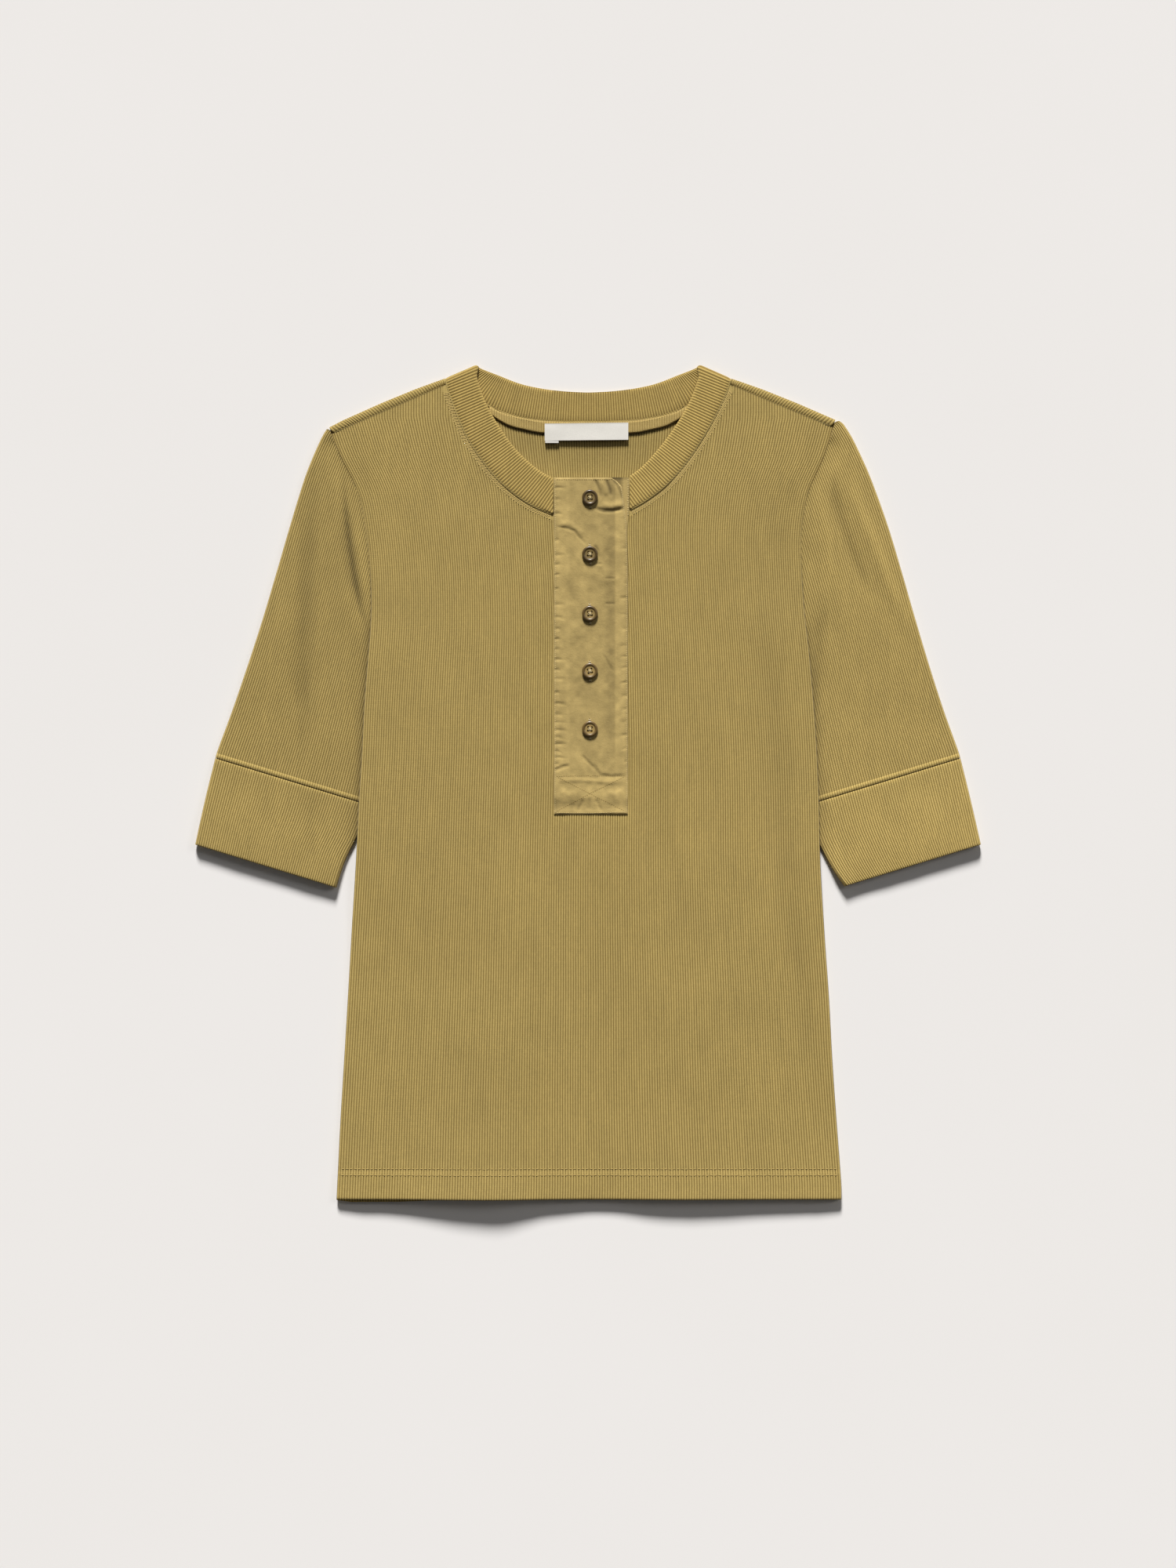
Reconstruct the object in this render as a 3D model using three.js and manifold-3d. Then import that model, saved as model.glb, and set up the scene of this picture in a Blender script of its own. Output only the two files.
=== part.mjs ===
// Henley shirt in rib knit, laid flat and face up.
// Millimetres. +X is the wearer's left, +Y points to the neck, +Z is up from the table.
import * as THREE from 'three';
import { mergeVertices } from 'three/addons/utils/BufferGeometryUtils.js';
import Module from 'manifold-3d';

// Driving sizes
const CLOTH = 1.2; // one layer of rib knit
const SEAM = 0.3; // space between two pieces at a seam
const RIB_HEIGHT = 0.42;
const BODY_RIBS = 192;
const SLEEVE_RIBS = 62;
const BAND_RIB_PITCH = 1.9;
const BODY_GAP = { edge: 0.3, middle: 1.1 }; // between back and front
const SLEEVE_LIFT = 3.6; // of the back where the sleeve lies beneath it
const HEM = { front: -303.5, depth: 19.5, fold: 0.35 };
const UNDERARM = 122; // below this height the body's rows are level
const SHOULDER_WRAP = { radius: 1.9, steps: 4 };
const SLEEVE = { pitch: 17, shoulderX: -190.5, shoulderY: 256.8, cuffSeam: 252, end: 316.5 };
const SLEEVE_TOP = { pressed: 2.7, free: 4.0, mouth: 5.6 };
const BAND = { front: 3.6, back: 1.0, half: 1.0, roll: 1.3, foldEdge: 0.35 };
const PLACKET = { right: -24.9, left: 28.4, underLeft: 30, top: 223, bottom: -22.9, underBottom: -8 };
const PLACKET_CLOTH = { under: 0.7, top: 1.0 };
const BUTTON = { radius: 5.75, height: 2.1, sides: 14, holeRadius: 0.75, holeReach: 1.35, holeSides: 6 };
const BUTTON_X = 1.4;
const BUTTON_YS = [208.2, 167, 123.6, 81.8, 39.5];
const TAPE_CLOTH = 0.8;

const { clamp, lerp, smoothstep, degToRad } = THREE.MathUtils;

// A table with a name for each column
function table(columns, rows) {
  const names = columns.split(' ');
  return rows.map((row) => Object.fromEntries(names.map((name, i) => [name, row[i]])));
}

// A smooth curve through one column of a table, by the value in another
function smooth(rows, key, column) {
  const k = rows.map((row) => row[key]);
  const p = rows.map((row) => row[column]);
  const last = rows.length - 1;
  const slope = p.map((_, i) => {
    const before = Math.max(i - 1, 0);
    const after = Math.min(i + 1, last);
    return (p[after] - p[before]) / (k[after] - k[before]);
  });
  return (at) => {
    let i = 0;
    while (i < last - 1 && at > k[i + 1]) i += 1;
    const h = k[i + 1] - k[i];
    const t = clamp((at - k[i]) / h, 0, 1);
    const rest = 1 - t;
    return (
      p[i] * rest * rest * (1 + 2 * t) + slope[i] * h * t * rest * rest +
      p[i + 1] * t * t * (3 - 2 * t) - slope[i + 1] * h * t * t * rest
    );
  };
}

// Straight lines through one column of a table
function straight(rows, key, column) {
  const last = rows.length - 1;
  return (at) => {
    let i = 0;
    while (i < last - 1 && at > rows[i + 1][key]) i += 1;
    const [a, b] = [rows[i], rows[i + 1]];
    return lerp(a[column], b[column], clamp((at - a[key]) / (b[key] - a[key]), 0, 1));
  };
}

// Outline of the body: armhole above the underarm, side seam below it
const EDGE = table('y right left', [
  [-306, -183.6, 184.9],
  [-292, -183.0, 184.8],
  [-246, -180.8, 181.5],
  [-200, -178.0, 178.3],
  [-155, -175.3, 175.9],
  [-110, -172.7, 172.7],
  [-57, -169.3, 169.4],
  [-15, -167.2, 168.4],
  [20, -165.0, 167.0],
  [55, -163.3, 164.7],
  [85, -161.0, 162.2],
  [106, -159.2, 160.0],
  [122, -158.4, 158.2],
  [150, -158.9, 156.4],
  [180, -161.6, 155.7],
  [212, -168.0, 161.0],
  [240, -181.6, 173.0],
  [266, -191.0, 180.7],
]);
const EDGE_OF = { right: smooth(EDGE, 'y', 'right'), left: smooth(EDGE, 'y', 'left') };
const ARMHOLE_ROWS = [160, 195, 225];

// Top of the front at the forward shoulder seam, and the shoulder fold of the back
const SHOULDER = {
  seam: { right: [[-187.0, 255.1], [-104.5, 290.6]], left: [[178.4, 259.9], [104.5, 290.6]] },
  fold: {
    right: [[-189.0, 260], [-151.6, 277.2], [-127, 287.0], [-106.5, 294.5]],
    left: [[180.7, 265.6], [153.3, 277.2], [128.1, 287.0], [106.5, 294.5]],
  },
};

// Neckband from the placket over each shoulder: inner fold edge and outer seam edge
const BAND_RIGHT = table('innerX innerY outerX outerY', [
  [-25.4, 222.5, -25.4, 196.5],
  [-34.9, 227.9, -39.0, 202.3],
  [-45.2, 236.2, -52.5, 210.8],
  [-55.5, 247.1, -66.5, 223.2],
  [-63.5, 258.5, -77.5, 237.0],
  [-70.9, 270.6, -87.5, 252.5],
  [-77.8, 285.5, -96.5, 272.5],
  [-81.0, 297.5, -101.8, 287.5],
]);
const BAND_LEFT = table('innerX innerY outerX outerY', [
  [30.5, 224.0, 30.5, 199.8],
  [39.5, 231.1, 43.5, 207.6],
  [49.2, 241.4, 57.0, 218.2],
  [59.5, 254.5, 71.0, 234.2],
  [69.8, 270.6, 84.0, 253.5],
  [76.1, 283.1, 94.0, 271.5],
  [80.7, 297.0, 101.2, 287.0],
]);
// Back of the neckband, for one half
const BAND_BACK = table('innerX innerY outerX outerY', [
  [66.4, 298.2, 85.5, 283.5],
  [49.2, 291.6, 62.5, 271.2],
  [32.6, 288.0, 38.0, 265.8],
  [16.0, 286.0, 18.5, 264.5],
  [0, 285.3, 0, 264.3],
]);
const BAND_FOLD = { inner: [80.7, 305.9], outer: [104.1, 295.6] };
const BAND_TURN_END = [103.2, 293.5];
const TAPE_EDGE = table('x y', [
  [0, 255.1],
  [33, 255.6],
  [47.5, 258.3],
  [57.5, 261],
  [66, 265.5],
]);

// Edges of the sleeve and cuff, across from the shoulder point, by the distance down the sleeve
const SLEEVE_OUTER = table('a right left', [
  [-12, 0, 7],
  [-8, 0, 3.2],
  [-4, -0.2, 1.2],
  [0, -1.2, 0.4],
  [4, -2.3, -0.8],
  [19, -4.3, -3.2],
  [37, -5.7, -5.3],
  [73, -5.8, -7.1],
  [109, -5.3, -7.0],
  [145, -5.0, -6.4],
  [181, -5.6, -6.2],
  [217, -6.8, -6.8],
  [245, -8.4, -8.2],
  [252, -8.4, -8.2],
  [284, -6.6, -6.4],
  [316.5, -3.9, -4.0],
]);
const SLEEVE_INNER = table('a right left', [
  [140, 101.7, 101.7],
  [200, 105, 105],
  [252, 108.6, 109],
  [278, 107.4, 109.4],
  [292, 104.8, 107.3],
  [305, 104.0, 104.4],
  [316.5, 104.0, 100.4],
]);
// Hidden top of the sleeve beneath the body, from the underarm inwards
const SLEEVE_HIDDEN = table('b a', [
  [85.4, 141],
  [101.7, 143],
]);
// Long fold in the top of each sleeve beside the armhole
const SLEEVE_CREASE = table('a b', [
  [30, 20],
  [60, 35],
  [90, 48],
  [115, 57],
  [135, 66],
]);
const CREASE = { depth: 0.9, width: 4 };

// Lower edge of the back, which shows below the front near one corner
const BACK_HEM = table('u y', [
  [0, -304.2],
  [0.03, -305.6],
  [0.125, -305.3],
  [0.2, -304],
  [1, -304],
]);
// Rise of the hem off the table, by the place across it
const HEM_WAVE = table('u rise', [
  [0, 1.2],
  [0.12, 2.2],
  [0.3, 5.6],
  [0.42, 3.4],
  [0.52, 1.6],
  [0.63, 2.6],
  [0.72, 4.4],
  [0.85, 2.4],
  [1, 1.2],
]);
const WAVE_FADE = table('y share', [
  [-304, 1],
  [-284, 0.5],
  [-245, 0],
]);
const OVER_SLEEVE_ACROSS = table('u share', [
  [0, 1],
  [0.09, 1],
  [0.16, 0],
  [0.84, 0],
  [0.91, 1],
  [1, 1],
]);
const OVER_SLEEVE_DOWN = table('y share', [
  [-75, 0],
  [-50, 1],
  [106, 1],
  [122, 0],
]);

// Level rows of the body: the middle leaves out those that only the sides need
const HEM_STEP = HEM.front + HEM.depth;
const BODY_ROWS = table('y sides', [
  [HEM.front, false],
  [HEM_STEP, false],
  [HEM_STEP + 1.5, false],
  [-245, false],
  [-75, true],
  [-50, true],
  [106, true],
  [UNDERARM, false],
]);
const SIDE_SHARE = 0.16;

// Coarse columns of each panel: close together where its neckline bends
const RIGHT_SIDE = [0, 0.03, 0.06, 0.09, 0.125, SIDE_SHARE, 0.2];
const LEFT_SIDE = [0.84, 0.875, 0.91, 0.94, 0.97, 1];
const FRONT_NECK = [
  0.233, 0.24, 0.254, 0.273, 0.291, 0.315, 0.35, 0.39, 0.432,
  0.5, 0.56, 0.606, 0.644, 0.682, 0.716, 0.744, 0.767, 0.786, 0.795,
];
const BACK_NECK = [0.284, 0.346, 0.379, 0.412, 0.464, 0.514, 0.564, 0.616, 0.648, 0.682, 0.744];
const FRONT_COLUMNS = [...RIGHT_SIDE, ...FRONT_NECK, ...LEFT_SIDE];

// Meshes from strips of shared points

function point(u, v, x, y, z) {
  return { u, v, x, y, z };
}

// Triangles between two rows of points, matched by the value named in key
function zip(faces, left, right, key) {
  let i = 0;
  let j = 0;
  while (i < left.length - 1 || j < right.length - 1) {
    const leftNext = i < left.length - 1 ? left[i + 1][key] : Infinity;
    const rightNext = j < right.length - 1 ? right[j + 1][key] : Infinity;
    if (leftNext <= rightNext) {
      faces.push([left[i], right[j], left[i + 1]]);
      i += 1;
    } else {
      faces.push([left[i], right[j], right[j + 1]]);
      j += 1;
    }
  }
}

function zipAll(faces, columns, key) {
  for (let i = 0; i < columns.length - 1; i += 1) zip(faces, columns[i], columns[i + 1], key);
}

const firsts = (columns) => columns.map((column) => column[0]);
const lasts = (columns) => columns.map((column) => column[column.length - 1]);
const turned = (faces) => faces.map(([a, b, c]) => [a, c, b]);

// A wall between an outer and an inner skin, each given by its columns
function wall(outer, inner) {
  const faces = [];
  const back = [];
  zipAll(faces, outer, 'v');
  zipAll(back, inner, 'v');
  faces.push(...turned(back));
  zip(faces, firsts(outer), firsts(inner), 'u');
  zip(faces, lasts(inner), lasts(outer), 'u');
  zip(faces, inner[0], outer[0], 'v');
  zip(faces, outer[outer.length - 1], inner[inner.length - 1], 'v');
  return faces;
}

// A wall from one skin whose every point holds its twin on the other side
function doubled(skin) {
  const faces = [...skin];
  const edges = new Set();
  const name = (a, b) => `${a.id}_${b.id}`;
  let count = 0;
  for (const corners of skin) {
    for (const corner of corners) {
      if (corner.id === undefined) {
        corner.id = count;
        count += 1;
      }
    }
  }
  for (const [a, b, c] of skin) {
    faces.push([a.twin, c.twin, b.twin]);
    [[a, b], [b, c], [c, a]].forEach(([from, to]) => edges.add(name(from, to)));
  }
  for (const [a, b, c] of skin) {
    for (const [from, to] of [[a, b], [b, c], [c, a]]) {
      if (edges.has(name(to, from))) continue;
      faces.push([from, from.twin, to], [to, from.twin, to.twin]);
    }
  }
  return faces;
}

function volumeOf(faces) {
  return faces.reduce((sum, [a, b, c]) => (
    sum + a.x * (b.y * c.z - b.z * c.y) + a.y * (b.z * c.x - b.x * c.z) + a.z * (b.x * c.y - b.y * c.x)
  ), 0);
}

function meshOf(name, material, faces) {
  const outward = volumeOf(faces) > 0 ? faces : turned(faces);
  const numbers = new Map();
  const places = [];
  const index = outward.flatMap((corners) => corners.map((corner) => {
    if (!numbers.has(corner)) {
      numbers.set(corner, numbers.size);
      places.push(corner.x, corner.y, corner.z);
    }
    return numbers.get(corner);
  }));
  const geometry = new THREE.BufferGeometry();
  geometry.setAttribute('position', new THREE.Float32BufferAttribute(places, 3));
  geometry.setIndex(index);
  geometry.computeVertexNormals();
  return named(name, material, geometry);
}

function named(name, material, geometry) {
  const mesh = new THREE.Mesh(geometry, material);
  mesh.name = name;
  return mesh;
}

// Body

const hemAt = straight(BACK_HEM, 'u', 'y');
const riseAt = smooth(HEM_WAVE, 'u', 'rise');
const fadeAt = straight(WAVE_FADE, 'y', 'share');
const overAcross = straight(OVER_SLEEVE_ACROSS, 'u', 'share');
const overDown = straight(OVER_SLEEVE_DOWN, 'y', 'share');

const bodyX = (u, y) => lerp(EDGE_OF.right(y), EDGE_OF.left(y), u);

const backLift = (u, y) => riseAt(u) * fadeAt(y) + SLEEVE_LIFT * overAcross(u) * overDown(y);
const swell = (u) => lerp(BODY_GAP.edge, BODY_GAP.middle, clamp(Math.min(u, 1 - u) / 0.05, 0, 1));

// Height of the front's inner skin, straight between its coarse columns
function frontInside(u, y) {
  let i = 0;
  while (i < FRONT_COLUMNS.length - 2 && u > FRONT_COLUMNS[i + 1]) i += 1;
  const [from, to] = [FRONT_COLUMNS[i], FRONT_COLUMNS[i + 1]];
  const value = (at) => backLift(at, y) + CLOTH + swell(at);
  return lerp(value(from), value(to), (u - from) / (to - from));
}

// Outline of the top of a panel, as a height over each x
function topLine(points) {
  const rows = points.map(([x, y]) => ({ x, y })).sort((p, q) => p.x - q.x);
  return straight(rows, 'x', 'y');
}

// Height at which the body's column u meets a top line, going up
function meeting(u, top) {
  const step = 2;
  let low = UNDERARM;
  while (low < 320 && low + step < top(bodyX(u, low + step))) low += step;
  let high = low + step;
  for (let i = 0; i < 30; i += 1) {
    const middle = (low + high) / 2;
    if (middle < top(bodyX(u, middle))) low = middle;
    else high = middle;
  }
  return low;
}

// Rows of one column of the body, with its upper rows spread up to the top line
function bodyColumn(u, top, hem, height) {
  const sides = Math.min(u, 1 - u) <= SIDE_SHARE + 1e-6;
  const rows = BODY_ROWS.filter((row) => sides || !row.sides);
  const column = rows.map((row, i) => {
    const y = i === 0 ? hem : row.y;
    return point(u, BODY_ROWS.indexOf(row), bodyX(u, y), y, height(u, y));
  });
  const end = meeting(u, top);
  const edgeEnd = lerp(meeting(0, top), meeting(1, top), u);
  ARMHOLE_ROWS.forEach((row, i) => {
    if (!sides) return;
    const y = lerp(UNDERARM, end, (row - UNDERARM) / (edgeEnd - UNDERARM));
    column.push(point(u, BODY_ROWS.length + i, bodyX(u, y), y, height(u, y)));
  });
  column.push(point(u, BODY_ROWS.length + ARMHOLE_ROWS.length, bodyX(u, end), end, height(u, end)));
  return column;
}

// Points moved sideways from a line of points
function movedAside(points, distance) {
  return points.map(([x, y], i) => {
    const [ax, ay] = points[Math.max(i - 1, 0)];
    const [bx, by] = points[Math.min(i + 1, points.length - 1)];
    const length = Math.hypot(bx - ax, by - ay);
    return [x - ((by - ay) / length) * distance, y + ((bx - ax) / length) * distance];
  });
}

function sampled(pairs, count) {
  const curve = new THREE.CatmullRomCurve3(pairs.map(([x, y]) => new THREE.Vector3(x, y, 0)));
  return curve.getPoints(count).map((p) => [p.x, p.y]);
}

const outerPairs = (rows) => rows.map((row) => [row.outerX, row.outerY]);

function frontTop() {
  const right = movedAside(sampled(outerPairs(BAND_RIGHT), 60), SEAM * 1.4);
  const left = movedAside(sampled(outerPairs(BAND_LEFT), 60), -SEAM * 1.4);
  return topLine([
    ...SHOULDER.seam.right,
    ...right.filter(([, y]) => y < SHOULDER.seam.right[1][1]),
    ...left.filter(([, y]) => y < SHOULDER.seam.left[1][1]),
    ...SHOULDER.seam.left,
  ]);
}

function backTop() {
  const half = movedAside(sampled([BAND_TURN_END, ...outerPairs(BAND_BACK)], 60), SEAM * 1.9);
  return topLine([
    ...SHOULDER.fold.right,
    ...half.map(([x, y]) => [-x, y]),
    ...half,
    ...SHOULDER.fold.left,
  ]);
}

function ribbed(i, height) {
  return i % 2 === 1 ? height : 0;
}

function frontBody(material) {
  const top = frontTop();
  const inner = FRONT_COLUMNS.map((u) => bodyColumn(u, top, HEM.front, frontInside));
  const outer = [];
  for (let i = 0; i <= 2 * BODY_RIBS; i += 1) {
    const u = i / (2 * BODY_RIBS);
    const height = (at, y) => {
      const x = bodyX(at, y);
      const underPlacket = x > PLACKET.right - 1 && x < PLACKET.underLeft + 1 && y > PLACKET.bottom - 1;
      const hem = y <= HEM_STEP ? HEM.fold : 0;
      const fromEdge = Math.min(at, 1 - at) * (EDGE_OF.left(y) - EDGE_OF.right(y));
      const round = 0.6 * (1 - Math.sqrt(1 - (1 - clamp(fromEdge / 2, 0, 1)) ** 2));
      return frontInside(at, y) + CLOTH + hem - round + (underPlacket ? 0 : ribbed(i, RIB_HEIGHT));
    };
    outer.push(bodyColumn(u, top, HEM.front, height));
  }
  return meshOf('front_body', material, wall(outer, inner));
}

// Back panel, its lower skin on the table, with a strip that wraps forward over each shoulder
function backBody(material) {
  const top = backTop();
  const cornerRight = cornerColumn(SHOULDER.fold.right);
  const cornerLeft = cornerColumn(SHOULDER.fold.left);
  const columnsAt = [...RIGHT_SIDE, cornerRight, ...BACK_NECK, cornerLeft, ...LEFT_SIDE];
  const columns = columnsAt.map((u) => {
    const column = bodyColumn(u, top, hemAt(u), backLift);
    const corner = u === cornerRight ? SHOULDER.fold.right : SHOULDER.fold.left;
    if (u === cornerRight || u === cornerLeft) {
      [column[column.length - 1].x, column[column.length - 1].y] = corner[corner.length - 1];
    }
    column.forEach((p) => { p.twin = point(p.u, p.v, p.x, p.y, p.z + CLOTH); });
    return column;
  });
  const faces = [];
  zipAll(faces, columns, 'v');
  const right = columns.filter((column) => column[0].u <= cornerRight);
  const left = columns.filter((column) => column[0].u >= cornerLeft);
  shoulderWrap(faces, lasts(right), SHOULDER.fold.right, SHOULDER.seam.right);
  shoulderWrap(faces, lasts(left), [...SHOULDER.fold.left].reverse(), [...SHOULDER.seam.left].reverse());
  return meshOf('back_body', material, doubled(faces));
}

function cornerColumn(fold) {
  const [x, y] = fold[fold.length - 1];
  return (x - EDGE_OF.right(y)) / (EDGE_OF.left(y) - EDGE_OF.right(y));
}

// Strip from a row of points on the fold, round and forward to just short of the front's edge
function shoulderWrap(faces, row, fold, seam) {
  const [start, end] = [new THREE.Vector2(...fold[0]), new THREE.Vector2(...fold[fold.length - 1])];
  const along = end.clone().sub(start).normalize();
  const outward = new THREE.Vector2(-along.y, along.x);
  const [seamStart, seamEnd] = [new THREE.Vector2(...seam[0]), new THREE.Vector2(...seam[1])];
  const { radius, steps } = SHOULDER_WRAP;
  const columns = row.map((base) => {
    const share = clamp(new THREE.Vector2(base.x, base.y).sub(start).dot(along) / start.distanceTo(end), 0, 1);
    const front = seamStart.clone().lerp(seamEnd, share).addScaledVector(outward, SEAM * 1.2);
    const column = [base];
    for (let i = 1; i <= steps; i += 1) {
      const angle = (Math.PI * i) / steps;
      const at = (r) => point(base.u, i, base.x + outward.x * r * Math.sin(angle),
        base.y + outward.y * r * Math.sin(angle), radius - r * Math.cos(angle));
      const p = at(radius);
      p.twin = at(radius - CLOTH);
      column.push(p);
    }
    const tip = point(base.u, steps + 1, front.x, front.y, 2 * radius);
    tip.twin = point(base.u, steps + 1, front.x, front.y, 2 * radius - CLOTH);
    column.push(tip);
    return column;
  });
  columns.forEach((column) => column.forEach((p, i) => { p.v = i; }));
  zipAll(faces, columns, 'v');
}

// Sleeves and cuffs, in a frame of their own: a runs down the sleeve and b across it, from its outer edge

const SIN = Math.sin(degToRad(SLEEVE.pitch));
const COS = Math.cos(degToRad(SLEEVE.pitch));
const toPlan = (a, b) => [
  SLEEVE.shoulderX - SIN * a + COS * b,
  SLEEVE.shoulderY - COS * a - SIN * b,
];
const toSleeve = (x, y) => [
  -SIN * (x - SLEEVE.shoulderX) - COS * (y - SLEEVE.shoulderY),
  COS * (x - SLEEVE.shoulderX) - SIN * (y - SLEEVE.shoulderY),
];

function sleeveShape(side) {
  const outer = smooth(SLEEVE_OUTER, 'a', side);
  const inner = smooth(SLEEVE_INNER, 'a', side);
  const edgeX = (y) => (side === 'right' ? EDGE_OF.right(y) : -EDGE_OF.left(y));
  const tip = SHOULDER.fold[side][0][1] + SEAM;
  const seamEnd = SHOULDER.seam[side][0][1];
  const armhole = [tip, seamEnd, ...[...ARMHOLE_ROWS].reverse(), UNDERARM, 104].map((y) => [edgeX(y), y]);
  const line = [
    ...movedAside(armhole, -SEAM * 1.2).map(([x, y]) => {
      const [a, b] = toSleeve(x, y);
      return { a, b };
    }),
    ...SLEEVE_HIDDEN,
  ];
  return { side, outer, inner, edgeX, line, top: straight(line, 'b', 'a') };
}

// Height of the upper cloth's outside over the table, without ribs
function sleeveHeight(shape, a, b) {
  const [x, y] = toPlan(a, b);
  const clear = smoothstep(shape.edgeX(y) - x, 4, 16);
  const free = lerp(SLEEVE_TOP.free, SLEEVE_TOP.mouth, smoothstep(a, SLEEVE.cuffSeam + 8, SLEEVE.end));
  const nearest = SLEEVE_CREASE.reduce((best, row, i) => {
    if (i === 0) return best;
    const from = SLEEVE_CREASE[i - 1];
    const t = clamp((a - from.a) / (row.a - from.a), 0, 1);
    return Math.min(best, Math.hypot(a - lerp(from.a, row.a, t), b - lerp(from.b, row.b, t)));
  }, Infinity);
  return lerp(SLEEVE_TOP.pressed, free, clear) - CREASE.depth * clear * Math.exp(-((nearest / CREASE.width) ** 2));
}

// One skin of a flattened tube, as columns that go round it: over the top, then back beneath
function ring(shape, rows, places, inset, rise) {
  const { over, under } = places;
  const width = (a) => shape.inner(a) - shape.outer(a) - 2 * inset;
  const across = (w, a) => shape.outer(a) + inset + w * width(a);
  const column = (w, u, layer) => rows(w).map(({ v, a }) => {
    const b = across(w, a);
    const height = sleeveHeight(shape, a, b) - inset;
    const fromEdge = Math.min(w, 1 - w) * width(a);
    const round = Math.sqrt(1 - (1 - clamp(fromEdge / 2, 0, 1)) ** 2);
    const z = (height + inset) / 2 + layer * round * ((height - inset) / 2);
    const [x, y] = toPlan(a, b);
    return point(u, v, x, y, z + rise(u, a, round));
  });
  const columns = over.map((w) => column(w, w, 1));
  under.forEach((w) => columns.push(column(w, 2 - w, -1)));
  return [...columns, columns[0]];
}

function spaced(count) {
  return Array.from({ length: count + 1 }, (_, i) => i / count);
}

// Ends of a ring's columns, with the closing point counted as a full turn
function ringEnd(columns, pick) {
  return pick(columns).map((p, i, all) => ({ p, u: i === all.length - 1 ? 2 : p.u }));
}

function zipRing(faces, left, right) {
  const strip = [];
  zip(strip, left, right, 'u');
  faces.push(...strip.map((corners) => corners.map((corner) => corner.p)));
}

function tube(outer, inner) {
  const faces = [];
  const back = [];
  zipAll(faces, outer, 'v');
  zipAll(back, inner, 'v');
  faces.push(...turned(back));
  zipRing(faces, ringEnd(outer, firsts), ringEnd(inner, firsts));
  zipRing(faces, ringEnd(inner, lasts), ringEnd(outer, lasts));
  return faces;
}

function mirroredFor(side, faces) {
  if (side === 'left') {
    new Set(faces.flat()).forEach((p) => { p.x = -p.x; });
  }
  return faces;
}

const COARSE_ACROSS = [0.02, 0.15, 0.3, 0.5, 0.7, 0.85, 0.98];

// Coarse columns, with one at each corner of the armhole's line
function coarse(shape, inset, corners) {
  const extra = corners ? shape.line.map(({ a, b }) => (
    (b - shape.outer(a) - inset) / (shape.inner(a) - shape.outer(a) - 2 * inset)
  )).filter((w) => w > 0.025 && w < 0.975) : [];
  const plain = COARSE_ACROSS.filter((w) => extra.every((at) => Math.abs(w - at) > 0.03));
  return [...plain, ...extra].sort((p, q) => p - q);
}

// Distance down the sleeve at which the column w leaves the armhole
function sleeveStart(shape, w, inset) {
  const across = (a) => shape.outer(a) + inset + w * (shape.inner(a) - shape.outer(a) - 2 * inset);
  let a = 0;
  for (let i = 0; i < 40; i += 1) a = lerp(a, shape.top(across(a)), 0.6);
  return a;
}

function sleeve(side, material) {
  const shape = sleeveShape(side);
  const level = 165;
  const ridge = SLEEVE.cuffSeam - 5;
  const lower = [205, ridge, SLEEVE.cuffSeam - SEAM];
  const rows = (inset) => (w) => {
    const start = sleeveStart(shape, w, inset);
    const upper = [0, 0.3, 0.65, 1].map((share) => lerp(start, level, share));
    return [...upper, ...lower].map((a, v) => ({ v, a }));
  };
  const seamRidge = (a) => (a > ridge ? 0.4 : 0);
  const outer = ring(shape, rows(0), {
    over: spaced(2 * SLEEVE_RIBS),
    under: coarse(shape, 0, true).reverse(),
  }, 0, (u, a, round) => (
    u > 0 && u < 1 ? round * (ribbed(Math.round(u * 2 * SLEEVE_RIBS), RIB_HEIGHT) + seamRidge(a)) : 0
  ));
  const inner = ring(shape, rows(CLOTH), {
    over: [0, ...coarse(shape, CLOTH, true), 1],
    under: coarse(shape, CLOTH, true).reverse(),
  }, CLOTH, () => 0);
  return meshOf(`sleeve_${side}`, material, mirroredFor(side, tube(outer, inner)));
}

function cuff(side, material) {
  const shape = sleeveShape(side);
  const rows = () => [SLEEVE.cuffSeam, SLEEVE.cuffSeam + 30, SLEEVE.end].map((a, v) => ({ v, a }));
  const outer = ring(shape, rows, {
    over: spaced(2 * SLEEVE_RIBS),
    under: coarse(shape, 0, false).reverse(),
  }, 0, (u, a, round) => (
    u > 0 && u < 1 ? round * ribbed(Math.round(u * 2 * SLEEVE_RIBS), RIB_HEIGHT) : 0
  ));
  const inner = ring(shape, rows, {
    over: [0, ...coarse(shape, CLOTH, false), 1],
    under: coarse(shape, CLOTH, false).reverse(),
  }, CLOTH, () => 0);
  return meshOf(`cuff_${side}`, material, mirroredFor(side, tube(outer, inner)));
}

// Neckband: stations from the placket over the wearer's right shoulder, round the back and down the left

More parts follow.
